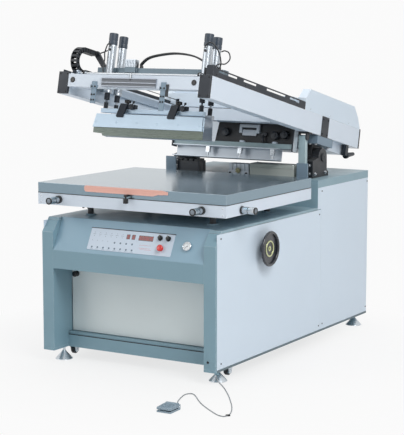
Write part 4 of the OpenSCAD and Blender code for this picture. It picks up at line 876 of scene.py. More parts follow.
# %% [markdown]
# ## Handwheel and lift screw
# The handwheel is moulded round a turned hub: a rim with finger waves at its back, a dished web, and a pale
# gilt ring round a sunk middle. Its shaft ends in a bevel gear that meets the gear on the lift screw. A
# gear is a cone whose radius dips between the teeth, and the screw is turned with one ring for each turn of
# thread.

# %% Handwheel
WHEEL_AT, AXLE, COLLAR_AT = [500.5, 421, 550], [0, 421, 550], [462.5, 421, 550]
RIM_R, RIM_T = 74, 7


def wheel_rim(radius, thick, waves, dip, around=120, section=14):
    """A ring whose section is a circle of radius thick, drawn in by dip along waves on its back half."""
    a = np.linspace(0, 2 * np.pi, around, endpoint=False)[:, None]
    b = np.linspace(0, 2 * np.pi, section, endpoint=False)[None, :]
    t = thick - dip * (0.5 + 0.5 * np.cos(waves * a)) * (0.5 - 0.5 * np.sin(b))
    r = radius + t * np.cos(b)
    return loft(np.stack([r * np.cos(a), r * np.sin(a), t * np.sin(b)], -1), closed=True)


def bevel_gear(small, large, height, teeth, bore):
    """A conical gear about z: its radius grows from small to large, less a twentieth between the teeth."""
    a = np.linspace(0, 2 * np.pi, teeth * 6, endpoint=False)
    dip = 1 - 0.05 * (0.5 - 0.5 * np.clip(1.8 * np.cos(teeth * a), -1, 1))
    return lathe([(bore, 0), (small, 0), (large, height), (bore, height)], len(a), wave=dip)


finish("gilt", (196, 200, 160), 0.22, 0.9, drift=0.15, patch=40, skin=(700, 0.03))
web = lathe([(19, -9), (66, -9), (71, -6), (71.5, -3), (66, -4.8), (52, -5.6), (39, -4), (30.5, -4),
    (29, -5.2), (19, -5.4)], 72, closed=True)
hub = lathe([(8, -31), (18, -31), (20, -29), (20, -9), (19.6, -5), (8, -5)], 48)
on_wheel("wheel_moulding", placed(joined(wheel_rim(RIM_R, RIM_T, 24, 1), web, hub), WHEEL_AT, "y"), "wheel",
    "handwheel", paint="wheel_black")
ring = lathe([(30, -4.4), (30.2, -1.4), (31.4, -0.3), (34.5, 0), (37.2, -0.8), (38, -2.2), (38.2, -4.4)],
    72, closed=True)
cap = joined(lathe([(3, -5.6), (13, -5.6), (13, -3.6), (11, -2.6), (3, -2.4)], 6), cap_head(5.5, 1.5))
on_wheel("wheel_ring", placed(joined(ring, moved(cap, [0, 0, 0.4])), WHEEL_AT, "y"), "wheel", paint="gilt")
gear = moved(bevel_gear(7.6, 21.4, 14, 20, 2), [0, 0, 8])
shaft = joined(lathe([(8, 14), (8, 462)], 28), gear)
on_wheel("wheel_shaft", placed(shaft, AXLE, "y"), "steel", paint="ground_steel")
thread = [(r, 22 + 4 * turn + step) for turn in range(20)
    for r, step in ((8.8, 0), (8.8, 0.6), (10, 1.9), (10, 2.6))]
screw = joined(gear, lathe([(8.8, 20)] + thread + [(8.8, 104), (7.6, 105)], 28))
make(machine, "lift_screw", "lift_screw_turned", moved(screw, AXLE), "steel", "lift_screw",
    paint="ground_steel")
collar_profile = [(8.1, 0), (25, 0), (26, 1), (26, 4), (24.8, 5), (8.1, 5)]
on_cabinet("shaft_collar", placed(lathe(collar_profile, 48, closed=True), COLLAR_AT, "y"), "cast_black")

# %% [markdown]
# ## Table
# A welded white frame rides on the lift platform's dark columns. Two flat slides on it carry the vacuum
# plate, so that the plate can be shifted by a few millimetres in both directions. The plate is ground
# aluminium, polished on top and drilled with fine holes in a square grid. The holes are a mask in its
# finish, because several thousand bored ones would cost far more than they show.

# %% Table finish
table_polish = finish("table_polish", (136, 156, 168), 0.17, 0.75, drift=0.05, patch=2,
    brushed=(ALONG_Y, 0.03), worn=(206, 216, 222), wear=0.5, spread=0.06)
HOLE_PITCH, HOLE_R = 0.02, 0.0009
HOLE_FIELD = machine([[-440, 84, 0], [440, 764, 0]])
tree = table_polish.node_tree
top_shader = tree.nodes["Principled BSDF"]
spot = axes_of(tree, "TexCoord", "Object")


def cell_offset(coordinate):
    """Distance from the middle of a hole's cell along one axis: |fraction(c / pitch) - 1/2| x pitch."""
    part = sums(tree, "FRACT", sums(tree, "DIVIDE", coordinate, HOLE_PITCH))
    return sums(tree, "MULTIPLY", sums(tree, "ABSOLUTE", sums(tree, "SUBTRACT", part, 0.5)), HOLE_PITCH)


far = add(tree, "VectorMath", {0: add(tree, "CombineXYZ",
    {0: cell_offset(spot[0]), 1: cell_offset(spot[1])}).outputs[0]}, operation="LENGTH").outputs["Value"]
hole = between(tree, far, HOLE_R, HOLE_R * 1.5, 1, 0)
up = axes_of(tree, "NewGeometry", "Normal")[2]
hole = sums(tree, "MULTIPLY", hole, sums(tree, "GREATER_THAN", up, 0.9))
for axis in (0, 1):
    for bound, test in ((HOLE_FIELD[0][axis], "GREATER_THAN"), (HOLE_FIELD[1][axis], "LESS_THAN")):
        hole = sums(tree, "MULTIPLY", hole, sums(tree, test, spot[axis], float(bound)))
plain = top_shader.inputs["Base Color"].links[0].from_socket
fill(top_shader.inputs["Base Color"], blended(tree, hole, plain, screen(40, 46, 52)))
print("vacuum holes every", HOLE_PITCH * 1000, "mm")

# %% Platform, frame, slides and plate
softened("lift_platform", 0.8, "platform", paint="platform_paint")
softened("table_frame", 1.6, "arm_white")
softened("x_slide", 0.6, "slide_plate")
softened("y_slide", 0.6, "slide_plate")
softened("table_plate", 1.2, "table_top", paint="table_polish")
TABLE = (-500, 500, 24, 824)
PLATE_Z, FRAME_Z = 785.4, 733.1


def band(x0, x1, y0, y1, z0, z1, proud):
    """A thin strip all round a rectangle, standing proud of it."""
    return blocks((x0 - proud, x1 + proud, y0 - proud, y0 + 1, z0, z1, 0.1),
        (x0 - proud, x1 + proud, y1 - 1, y1 + proud, z0, z1, 0.1),
        (x0 - proud, x0 + 1, y0, y1, z0, z1, 0.1), (x1 - 1, x1 + proud, y0, y1, z0, z1, 0.1))


# A thin black band round the plate's edge, in the rubber finish: painted shade for the recessed gap between
# the plate and the frame.
on_table("plate_seal", band(*TABLE, PLATE_Z + 0.1, PLATE_Z + 3.2, 0.25), "table_top", paint="rubber_black")
corner_screws = joined(*[placed(cap_head(3.2, 1.6, 12), [x, 24, z]) for x in (-482, 482)
    for z in (744, 774)])
make(machine, "table_lift", "frame_screws", corner_screws, "chrome")
stops = joined(*[moved(lathe([(4.2, 0), (5, 1), (5, 8.6), (4, 9.4)], 14), [x, y, FRAME_Z - 9])
    for x, y in [(-270, 58), (-243, 58), (330, 70), (-270, 780), (270, 780)]])
make(machine, "table_lift", "frame_stops", stops, "roller", paint="rubber_black")

# %% [markdown]
# ## Front strip and knobs
# A folded salmon strip is clipped to the plate's front edge, with a black clamping knob under its middle.
# Three silver knobs with dark collars shift the plate: one on the right side and two at the front.

# %% Strip and its knob
finish("strip_salmon", (238, 184, 170), 0.46, drift=0.08, patch=14, skin=(900, 0.06))
TOP = 833.4
outline = [[-226, 0], [-234, -2], [-238, -7], [-238, -18], [-235, -24], [-229, -28], [129, -28], [158, -20],
    [181, -20], [181, 0]]
face = moved(prism(outline, 21, 24.2, (0, 2, 1)), [0, 0, TOP])
upper = box(-232, 181, 20.4, 24, TOP - 9, TOP - 1, 1.2)
lower = box(-230, 131, 20.6, 24, TOP - 28, TOP - 23, 1)
tab = prism([(158, -20), (207, -18), (207, -5), (181, -1), (176, -8)], 0, 2.4, (0, 2, 1))
tab = moved((tab[0] * [1, -1, 1], tab[1]), [0, 23.6, TOP])
on_table("strip_sheet", joined(face, upper, lower, tab), "strip", "front_strip", paint="strip_salmon")
dial = joined(knob_flutes(12, -11, 11, 8, 1.4, 64), lathe([(4, 10), (4, 26)], 16),
    moved(cap_head(4.5, 1.2), [0, 0, -12]))
clamp = joined(moved(dial, [0, 1.4, 779]), box(-7, 7, -5, 24, 797.4, 806.4, 1.5))
on_table("strip_clamp", clamp, "knob_black")

# %% Table knobs
def table_knob(end, collar, reach):
    """A knob about z in three finishes: a fluted silver barrel up to end with a spindle of this reach, a grey
    end face, and a dark collar and rim."""
    silver = joined(lathe([(5, -reach), (5, 0.4)], 20),
        knob_flutes(15.4, collar - 1, end - 5, 28, 0.5, 112))
    face = lathe([(2, end - 6), (10.8, end - 6), (10.6, end - 1.6), (9.6, end - 0.8), (2, end - 0.6)], 32)
    dark = joined(
        lathe([(8, 0.3), (17, 0.3), (18, 1.2), (18, collar - 1.2), (16.6, collar), (8, collar)], 40,
            closed=True),
        lathe([(10.9, end - 6), (15.8, end - 6), (16, end - 4.6), (16, end - 1), (15.2, end), (11.6, end),
            (10.9, end - 0.8)], 40, closed=True),
        lathe([(15.5, end * 0.5 - 1.5), (15.9, end * 0.5), (15.5, end * 0.5 + 1.5)], 40))
    return silver, face, dark


KNOBS = (("x_knob", (73, 8, 108), [500, 155, 755.1], "y"),
    ("y_knob_left", (82, 16, 100), [-380, 24, 760.1], "x"),
    ("y_knob_right", (82, 16, 100), [380, 24, 760.1], "x"))
for knob, size, at, axis in KNOBS:
    barrel, end_face, collar = (placed(part, at, axis) for part in table_knob(*size))
    make(machine, knob, f"{knob}_barrel", barrel, "knob_silver", knob)
    make(machine, knob, f"{knob}_face", end_face, "knob_silver", paint="face_grey")
    make(machine, knob, f"{knob}_collar", collar, "knob_black")
print("table dressed")

# %% [markdown]
# ## Arms
# Two white box beams carry the head. Each ends in a dark cap held by screws and bears a dark slotted trough
# on top, in which hoses and wires run back. The beams and troughs are extrusions, so their solids are
# copied with rounded edges, and the caps get their screws.

# %% Arms, caps and troughs
softened("arms", 1.6, "arm_white")
softened("arm_fittings", 1, "trim_dark")
ARM_IN, ARM_OUT, ARM_Z, ARM_TOP = 345, 400, 1000, 1098
front_screw = spun(cap_head(3.4, 2.2, 12), "x")
cap_spots = grid((ARM_IN + 8, ARM_OUT - 8), -3.8, (ARM_Z + 9, ARM_TOP - 8))
on_head("cap_screws", mirrored(copies(front_screw, cap_spots)), "cast_black", paint="knob_black")
side_dot = spun(cap_head(3, 1.4, 12), "y")
on_head("trough_screws", mirrored(copies(side_dot, grid(ARM_OUT - 0.2, (44, 300, 560, 820), ARM_TOP + 9))),
    "cast_black", paint="knob_black")
side_plate = joined(box(ARM_OUT + 0.2, ARM_OUT + 3.4, 1095.6, 1170.4, ARM_Z - 2, ARM_TOP + 0.3, 0.8),
    copies(spun(cap_head(5, 3.5), "y"), grid(ARM_OUT + 3, (1106, 1160), (ARM_Z + 12, ARM_TOP - 14))))
on_head("side_plates", mirrored(side_plate), "cast_black", paint="trim_dark")
flange = box(ARM_IN - 10.5, ARM_OUT + 3.5, 1062.5, 1233.5, ARM_Z - 43.5, ARM_Z - 2.2, 2)
on_head("bracket_flanges", mirrored(flange), "rail", paint="hanger_blue")

# %% [markdown]
# ## Cross beams
# The front beam joins the arms at the operator's end. A ribbed aluminium rail is screwed on its face, and
# two hanger plates reach down from it to take the front of a screen frame. Only the rail's section matters,
# so it is drawn once as an outline with three ribs and carried along. Dark strips line the grooves between
# them.

# %% Beams, rail and hangers
softened("cross_beams", 1.6, "arm_white")
BEAM_Z, FACE_Y = 1032, -4
ribs = [(0, 1)]
for low, high in ((1, 6), (17, 22), (36, 40.6)):
    ribs += [(-5, low), (-9.2, low), (-10, low + 0.8), (-10, high - 0.8), (-9.2, high), (-5, high)]
ribs += [(0, 40.6)]
rail = moved(prism(ribs, -158, 130, (2, 0, 1)), [0, FACE_Y, BEAM_Z + 2])
on_head("ribbed_rail", rail, "rail", "front_hangers", paint="rib_satin")
grooves = [box(-157.5, 129.5, FACE_Y - 6, FACE_Y - 4.8, BEAM_Z + 2 + low, BEAM_Z + 2 + high, 0.2)
    for low, high in ((6.2, 16.8), (22.2, 35.8))]
on_head("rail_grooves", joined(*grooves), "rail", paint="gearbox_paint")
hangers = blocks((-210, -183, -10, -4, BEAM_Z - 73, BEAM_Z + 26, 1, 2),
    (156, 182, -10, -4, BEAM_Z - 97, BEAM_Z + 29, 1, 2),
    (-214, -179, -13, -4, BEAM_Z - 6, BEAM_Z + 10, 1.2),
    (152, 186, -13, -4, BEAM_Z - 6, BEAM_Z + 10, 1.2))
on_head("hanger_plates", hangers, "rail", paint="hanger_blue")
bolt_spots = grid((-203, -190, 163, 176), -9.8, (BEAM_Z - 58, BEAM_Z - 34))
bolt_spots += grid((-205, -188, 160, 178), -12.8, BEAM_Z + 2)
on_head("hanger_stop", blocks((182.4, 196, -9, -4, BEAM_Z - 34, BEAM_Z + 20, 0.8),
    (184, 195, -10, -8, BEAM_Z - 8, BEAM_Z + 12, 0.8)), "cast_black")
on_head("hanger_bolts", copies(spun(cap_head(4, 3.6), "x"), bolt_spots), "cast_black", paint="knob_black")
plug = lathe([(12.5, 0), (12.5, 1.6), (11.2, 2.6), (8, 2.8), (7.4, 1.6), (1, 1.6)], 32)
pin = lathe([(2.6, 0), (3.6, 0.6), (3.6, 22), (3, 23)], 16)
on_head("beam_pin", moved(pin, [-6, -8.2, 1075]), "steel", paint="ground_steel")
on_head("beam_pin_tip", joined(moved(lathe([(2, 0), (4.6, 0.6), (4.6, 9), (3, 10)], 16), [-6, -8.2, 1065]),
    box(-9, -3, -6, -4, 1066, 1096, 0.4)), "cast_black")
on_head("beam_plugs", mirrored(placed(plug, [320, -3.9, 1063])), "knob_black")

# %% [markdown]
# ## Guide rails, clamp channel and rear cover
# Rails inside the arms guide the carriage. The clamp channel at the back takes the rear edge of a screen
# frame, which three screws on its carrier press down. A folded cover closes the rear of the head.

# %% Rails, channel and cover
softened("guide_rails", 0.8, "rail", paint="rail_satin")
softened("clamp_channel", 1, "channel", paint="channel_satin")
CLAMPS = (-132, 50, 232)
grip_knob = joined(knob_flutes(14.6, 0.2, 9.4, 12, 0.8, 60), moved(cap_head(4, 1), [0, 0, 9]))
on_head("clamp_grips", copies(grip_knob, grid(CLAMPS, 947, 930.4)), "knob_silver", paint="arm_white")
nut = joined(box(-11, 11, -8, 6, 872, 902, 1.2), box(-13, 13, -4, 2, 884, 890, 0.8),
    lathe([(4, 848), (4, 873)], 12))
on_head("clamp_nuts", copies(nut, grid(CLAMPS, 935, 0)), "channel", paint="knob_silver")
slot_caps = blocks(*[(x - 24, x + 24, 974, 976.2, 872, 884, 0.8, 5) for x in (-290, -110, 70, 215)])
on_head("channel_caps", slot_caps, "channel", paint="arm_white")
# The carrier bar and its hangers get thin skins in a mid grey and in dark trim: painted shade for their faces
# in the shadow under the head.
on_head("clamp_carrier", box(-337.4, 337.4, 934.5, 965.5, 907.1, 930.5, 1), "channel", paint="carrier_shade_grey")
on_head("carrier_hangers", mirrored(box(336.4, 344.8, 924.5, 965.5, 894.5, 1045.5, 1)), "channel",
    paint="trim_dark")
softened("rear_cover", 2.2, "panel_white")
cover_dots = mirrored(copies(side_dot, grid(ARM_OUT - 0.3, (960, 1180, 1400), ARM_TOP + 12)))
on_head("cover_screws", cover_dots, "chrome")

# %% Pivot brackets and lift linkage
softened("pivot_brackets", 2.2, "cast_black")
under = placed(cap_head(6.5, 5.5), [0, 0, ARM_Z - 43], "x", 180)
on_head("bracket_bolts", mirrored(copies(under, grid((356, 388), (1078, 1218), 0.4))), "steel",
    paint="ground_steel")
softened("lift_strut", 1.4, "deck_paint", paint="strut_paint")
BULKHEAD_Y = 992
bridge = blocks((8, 122, BULKHEAD_Y - 14, BULKHEAD_Y, 1010, 1026, 1.5),
    (8, 24, BULKHEAD_Y - 14, BULKHEAD_Y, 982, 1011, 1.5),
    (104, 122, BULKHEAD_Y - 14, BULKHEAD_Y, 982, 1011, 1.5),
    (24, 104, BULKHEAD_Y - 9, BULKHEAD_Y, 970, 1000, 1.5))
on_head("bulkhead_bridge", bridge, "rail", paint="channel_satin")
can = lathe([(18, 0), (20, 1), (20, 18), (18, 20), (8, 20.5), (8, 24), (3, 24.5)], 32)
cans = copies(spun(can, "x"),
    [[210, BULKHEAD_Y, 976], [262, BULKHEAD_Y, 982], [-70, BULKHEAD_Y, 984], [-150, BULKHEAD_Y, 978]])
lever = tube(smooth([[148, BULKHEAD_Y - 8, 976], [146, BULKHEAD_Y - 16, 958], [150, BULKHEAD_Y - 14, 940],
    [144, BULKHEAD_Y - 10, 934]], 5), 5, 12)
on_head("bulkhead_units", joined(cans, lever, box(132, 162, BULKHEAD_Y - 12, BULKHEAD_Y, 970, 990, 1.5),
    box(-250, -190, BULKHEAD_Y - 16, BULKHEAD_Y, 950, 1000, 2)), "motor", paint="motor_paint")
softened("lift_crank", 0.8, "steel", paint="ground_steel")
end_cap = lathe([(20, 0), (20, 0.8), (18.6, 1.8), (8, 2), (7, 0.8), (1, 0.8)], 40)
on_head("shaft_caps", mirrored(placed(end_cap, [403.9, 1148, 900], "y")), "cast_black")

# %% [markdown]
# ## Carriage drive
# A motor on the rear beam turns a cross shaft, and two toothed belts pull the carriage along from pulleys
# at its ends. The belt is one closed loft: its section is carried round both pulleys, and its inner face
# steps in and out for the teeth.

# %% Motor, shafts and belts
softened("drive_motor", 1.4, "motor", paint="motor_paint")
SHAFT_Z, DRIVE_Y, IDLER_Y = 1105, 905, 62
PULLEY_X = 299


def pulley_shaft(radius, y):
    """A shaft with a toothed pulley near each end."""
    rod = spun(lathe([(radius - 0.8, -340), (radius, -339), (radius, 339), (radius - 0.8, 340)], 24), "y")
    wheel = knob_flutes(12, 0, 10, 15, 1.2, 90)
    wheel = mirrored(placed(wheel, [PULLEY_X, 0, 0], "y"))
    return moved(joined(rod, wheel), [0, y, SHAFT_Z])


make(head, "drive_shaft", "drive_shaft_turned", pulley_shaft(8, DRIVE_Y), "steel", "drive_shaft",
    paint="ground_steel")
make(head, "idler_shaft", "idler_shaft_turned", pulley_shaft(5, IDLER_Y), "steel", "idler_shaft",
    paint="ground_steel")


def belt(x0, x1, y0, y1, z, inner, outer, pitch=5, tooth=0.5):
    """A toothed belt round two wheels. At each step along the loop the section's inner edge lies at inner, or
    a tooth's depth nearer the wheels."""
    straight, bend = y1 - y0, np.pi * inner
    loop = 2 * (straight + bend)
    count = int(loop / pitch) * 2
    s = np.linspace(0, loop, count, endpoint=False)
    ends = np.cumsum([0, straight, bend, straight, bend])
    angle = np.interp(s, ends, [0, 0, np.pi, np.pi, 2 * np.pi])
    middle = np.interp(s, ends, [y0, y1, y1, y0, y0])
    near = inner + tooth - tooth * (np.arange(count) % 2)
    out_y, out_z = np.sin(angle), np.cos(angle)
    rings = [[(x, m + r * oy, z + r * oz) for x, r in ((x0, n), (x1, n), (x1, outer), (x0, outer))]
        for m, n, oy, oz in zip(middle, near, out_y, out_z)]
    return loft(rings, closed=True)


finish("belt_rubber", (22, 23, 26), 0.6, drift=0.3, patch=30, skin=(1500, 0.1))
on_head("toothed_belts", mirrored(belt(PULLEY_X + 1, PULLEY_X + 9, IDLER_Y, DRIVE_Y, SHAFT_Z, 12.3, 14.3)),
    "belt", "drive_belts", paint="belt_rubber", sharp=30)
print("head dressed")

# %% [markdown]
# ## Carriage
# The carriage beam spans the arms on four guide blocks. It is machined from bar, so its solid is copied
# with rounded edges. A finned valve block stands on it, and a slim black strut carries the end of the
# energy chain.

# %% Carriage beam
softened("carriage_beam", 1.2, "carriage", paint="beam_grey")
BEAM_Y, CARRIAGE_Z = 206, 1131
VALVE_X, VALVE_FRONT, VALVE_TOP = (-179, -123), BEAM_Y - 16, CARRIAGE_Z + 64
valve_shell = box(VALVE_X[0] - 0.8, VALVE_X[1] + 0.8, VALVE_FRONT - 1, VALVE_FRONT + 28.8, CARRIAGE_Z + 29,
    VALVE_TOP + 0.8, 1)
fins = [box(x, x + 3.4, VALVE_FRONT - 4, VALVE_FRONT + 31, CARRIAGE_Z + 31, VALVE_TOP - 2, 0.5)
    for x in np.linspace(VALVE_X[0] + 1, VALVE_X[1] - 4.4, 7)]
on_carriage("carriage_valves", joined(valve_shell, *fins), "steel", paint="cylinder_satin")
CHAIN_TOP = 1236
strut_outline = [(-391, CHAIN_TOP + 0.6), (-358, CHAIN_TOP + 0.6), (-299, CARRIAGE_Z + 26),
    (-324, CARRIAGE_Z + 26), (-377, CHAIN_TOP - 17), (-391, CHAIN_TOP - 17)]
strut = prism(strut_outline, BEAM_Y + 9.4, BEAM_Y + 24.6, (0, 2, 1))
on_carriage("chain_strut", strut, "trim_dark")
beam_bolts = grid((-322, -306, 306, 322, -40, 40, 120), BEAM_Y + 20, CARRIAGE_Z + 28)
on_carriage("beam_bolts", copies(cap_head(4.6, 4.2), beam_bolts), "steel", paint="ground_steel")

# %% [markdown]
# ## Air cylinders
# Four small air cylinders stand on the beam, two that lift the squeegee and two that lift the flood bar.
# Each is a turned tube between a nose ring and a dark cap, with a slotted screw on the cap and a push-in
# elbow at its side. Below it a dark sleeve on the nose slides over a thinner one on the bar, and both keep
# ink off the rod.

# %% Cylinders
BODY_Z, CAP_Z, CAP_TOP = 1045, 1260, 1315
barrel = lathe([(5.3, BODY_Z - 10), (18, BODY_Z - 10), (20, BODY_Z - 8.6), (20, BODY_Z + 3),
    (18.4, BODY_Z + 4.6), (19.2, BODY_Z + 7), (19.4, BODY_Z + 9), (19.4, CAP_Z - 9), (19.1, CAP_Z - 7),
    (18.2, CAP_Z - 6), (18.2, CAP_Z), (5.3, CAP_Z)], 40)
cap = lathe([(12, CAP_Z - 0.4), (20.2, CAP_Z - 0.4), (21, CAP_Z + 0.8), (21, CAP_Z + 16),
    (19.8, CAP_Z + 17.5), (19.8, CAP_Z + 21), (21, CAP_Z + 22.5), (21, CAP_TOP - 4), (19.6, CAP_TOP - 1.2),
    (15, CAP_TOP - 0.4), (8.5, CAP_TOP - 0.4), (8, CAP_TOP - 2.4), (3, CAP_TOP - 2.6)], 40)
stroke_screw = lathe([(6.6, CAP_TOP - 3), (6.6, CAP_TOP - 0.6), (6, CAP_TOP), (1, CAP_TOP)], 6)
elbow = joined(spun(lathe([(6.5, 18), (6.5, 24), (5.2, 24.6), (5.2, 27)], 14), "x"),
    lathe([(4.2, 0), (4.4, 1), (4.4, 12), (3.6, 13)], 14))
SPOTS = [[-256, 186, 0], [256, 186, 0], [-254, 266, 0], [254, 266, 0]]
on_carriage("cylinder_barrels", copies(barrel, SPOTS), "cylinder", "air_cylinders", paint="cylinder_satin")
on_carriage("cylinder_caps", copies(joined(cap, stroke_screw), SPOTS), "knob_black", paint="cap_blue")
clamps = blocks(*[(x - 20, x + 20, min(y, back), max(y, back), CARRIAGE_Z + 4, CARRIAGE_Z + 24, 1)
    for (x, y, _), back in zip(SPOTS, (206, 206, 246, 246))])
on_carriage("cylinder_brackets", clamps, "carriage", paint="beam_grey")
elbow_spots = [[x, y, z] for x, y, _ in SPOTS[:2] for z in (1072, 1236)]
on_carriage("cylinder_elbows", copies(elbow, elbow_spots), "knob_black")


def sleeve_tube(inner, outer, low, high):
    """A short sleeve round a rod, its outside turned with a groove every six millimetres."""
    rings = [(inner, low), (outer - 0.8, low)]
    for z in np.arange(low + 1, high - 5, 6):
        rings += [(outer, z), (outer, z + 3.4), (outer - 1.4, z + 4), (outer - 1.4, z + 5.4)]
    rings += [(outer, high - 1.5), (outer - 0.8, high), (inner, high)]
    return lathe(rings, 28, closed=True)


on_carriage("upper_sleeves", copies(sleeve_tube(11.2, 13.2, 1006, 1035), SPOTS), "trim_dark")

# %% [markdown]
# ## Hoses
# Air reaches the cylinders through black hoses. A pair arches over the middle of the beam and short loops
# join the cylinder ends. Each is a tube on a smooth curve, with its ends square to the fitting that it
# leaves.

# %% Hoses
TOP_Z = CARRIAGE_Z + 28
arches = []
for i in (0, 1):
    near, mid, far = BEAM_Y + 12 + i * 12, BEAM_Y + 8 + i * 14, BEAM_Y + 6 + i * 16
    arches.append(tube(smooth([[-110, near, TOP_Z], [-110, near, TOP_Z + 9], [-110, near, TOP_Z + 22],
        [-72, mid, TOP_Z + 50], [0, far, TOP_Z + 66], [82, far, TOP_Z + 72], [170, mid, TOP_Z + 60],
        [232, near, TOP_Z + 30], [232, near, TOP_Z + 12], [232, near, TOP_Z]], 6), 4, 14))
on_carriage("hose_arches", joined(*arches), "hose", "air_hoses", paint="hose_black")
left_loop = [[-256, 161, 1083], [-256, 160, 1098], [-270, 158, 1118], [-281, 164, 1150], [-283, 172, 1190],
    [-281, 164, 1220], [-268, 160, 1256], [-256, 160, 1260], [-256, 161, 1247]]
right_low = [[256, 161, 1083], [256, 160, 1098], [272, 156, 1118], [286, 162, 1140], [294, 184, 1156],
    [296, 208, 1172], [296, 219, 1166], [296, 219, TOP_Z]]
right_high = [[256, 161, 1247], [256, 160, 1256], [276, 156, 1270], [300, 164, 1262], [318, 184, 1226],
    [318, 206, 1188], [308, 219, 1172], [308, 219, TOP_Z]]
rear_high = [[272, 276, 1252], [286, 282, 1258], [304, 290, 1250], [312, 290, 1222], [300, 276, 1198],
    [284, 258, 1194], [276, 240, 1184], [276, 232, 1172], [276, 232, TOP_Z]]
chain_end = [[-345, BEAM_Y + 16, 1228], [-330, BEAM_Y + 14, 1232], [-300, BEAM_Y + 4, 1238],
    [-277, BEAM_Y - 8, 1236], [-266, BEAM_Y - 12, 1230]]
loops = [tube(smooth(path, 5), 3, 10) for path in (left_loop, right_low, right_high, rear_high, chain_end)]
on_carriage("hose_loops", joined(*loops), "hose", paint="hose_black")
unions = [[x, y, TOP_Z]
    for x, y in ((-110, 218), (-110, 230), (232, 218), (232, 230), (296, 219), (308, 219), (276, 232))]
on_carriage("hose_unions",
    copies(lathe([(6, -0.5), (6, 4), (5.4, 4.6), (5.4, 12), (4.2, 12.6)], 12), unions), "knob_black")

# %% [markdown]
# ## Squeegee
# Two piston rods hold a cross bar. On it stand two carrier plates, each with a slanted hook that reaches
# down over the clamp, a round adjuster and a star knob for the pressure. The clamp holds the blade between
# two jaws with six screws. The blade is cast polyurethane: a cloudy olive strip, darker where ink has
# soaked in.

# %% Squeegee
HOLDER_Z, CARRIER_TOP, CLAMP_Z, CLAMP_TOP, BLADE_Z = 945, 985, 874, 936, 836
SQUEEGEE_Y, ROW_Y, HALF = 161, 186, 290
HOOKS, HOOK_W, CARRIER_W = (-165, 108), 37, 78
rods = mirrored(moved(lathe([(4, HOLDER_Z + 8), (5, HOLDER_Z + 9), (5, BODY_Z + 150)], 24),
    [256, ROW_Y, 0]))
bar = box(-275, 275, ROW_Y - 10, ROW_Y + 10, HOLDER_Z, HOLDER_Z + 20, 1.2)
jaw_face = slab(lambda e: np.array([(-HALF - 3 + e, CLAMP_Z + e), (HALF - e, CLAMP_Z + e),
    (HALF - e, CLAMP_TOP - e), (-HALF + 12 + e, CLAMP_TOP - e)]), 0, 7, 1)
jaw_face = placed(jaw_face, [0, SQUEEGEE_Y - 4, 0])
jaws = joined(box(-HALF + 12, HALF, SQUEEGEE_Y - 10, SQUEEGEE_Y + 10, CLAMP_Z + 22, CLAMP_TOP, 1.6),
    jaw_face, box(-HALF + 6, HALF, SQUEEGEE_Y + 5, SQUEEGEE_Y + 10, CLAMP_Z, CLAMP_Z + 24, 1.2))
on_squeegee("squeegee_clamp", joined(bar, jaws), "holder", "squeegee_holder", paint="holder_satin")
on_squeegee("squeegee_rods", rods, "steel", paint="rod_steel")
bar_sleeve = sleeve_tube(5.2, 10.6, HOLDER_Z + 20, 993)
on_squeegee("squeegee_sleeves", mirrored(moved(bar_sleeve, [256, ROW_Y, 0])), "trim_dark")
carriers, hooks = [], []
adjuster = joined(spun(knob_flutes(13.5, 0, 14, 10, 1.4, 60), "x"),
    tube([[0, -10, 0], [10, -17, 9], [20, -22, 19]], 2.6, 10),
    moved(lathe([(2, -6), (5, -4), (6, 0), (5, 4), (2, 6)], 16), [21, -22, 20]))
for x in HOOKS:
    carriers.append(box(x, x + CARRIER_W, ROW_Y - 14, ROW_Y + 10, HOLDER_Z + 19, CARRIER_TOP, 1.2))
    hook = slab(lambda e: rounded(HOOK_W - 2 * e, 70 - 2 * e, 2), 0, 10, 0.8)
    hooks.append(placed(hook, [x + HOOK_W / 2, 164, 953], "x", 65.4))
    hooks.append(moved(adjuster, [x + CARRIER_W - 15, ROW_Y - 13, CARRIER_TOP - 12]))
on_squeegee("carrier_plates", joined(*carriers), "holder", paint="trim_dark")
on_squeegee("clamp_hooks", joined(*hooks), "holder", paint="trim_dark")
clamp_bolt = joined(spun(cap_head(5, 1.6), "x"), spun(lathe([(6.6, -0.6), (6.6, 0.6), (5, 0.8)], 20), "x"))
on_squeegee("clamp_bolts", copies(clamp_bolt, [[i * 110, SQUEEGEE_Y - 10.6, CLAMP_Z + 24]
    for i in np.arange(-2.5, 3)]), "holder", paint="holder_satin")
_, tree, shader = blank("blade_rubber")
across = axes_of(tree, "TexCoord", "Object")[0]
soaked = blended(tree, between(tree, across, -0.1, 0.26, 0, 1), screen(114, 130, 120),
    screen(100, 114, 100))
tone = effect_node(tree, "tone_drift", Color=soaked, Amount=0.3, Scale=5)["Color"]
streaks = noise(tree, 1, 3, (9, 30, 240))
fill(shader.inputs["Base Color"],
    blended(tree, between(tree, streaks, 0.4, 0.7, 0, 0.4), tone, screen(140, 152, 138)))
fill_all(shader,
    {"Transmission Weight": 0.25, "IOR": 1.5, "Roughness": between(tree, streaks, 0.3, 0.7, 0.22, 0.36)})
edge = np.array([[-5, CLAMP_Z], [5, CLAMP_Z], [5, BLADE_Z + 1.2], [4.4, BLADE_Z + 0.2], [-4.4, BLADE_Z],
    [-5, BLADE_Z + 1]])
cut = {-HALF: 13, -HALF + 48: 10, -HALF + 52: 0, HALF - 2: 0, HALF: 1.5}
sheet = [np.column_stack([np.full(6, x), edge[:, 0] + SQUEEGEE_Y,
    np.where(edge[:, 1] > CLAMP_Z - 1, edge[:, 1], edge[:, 1] + rise)]) for x, rise in cut.items()]
on_squeegee("blade_strip", loft(sheet), "blade", "squeegee_blade", paint="blade_rubber")
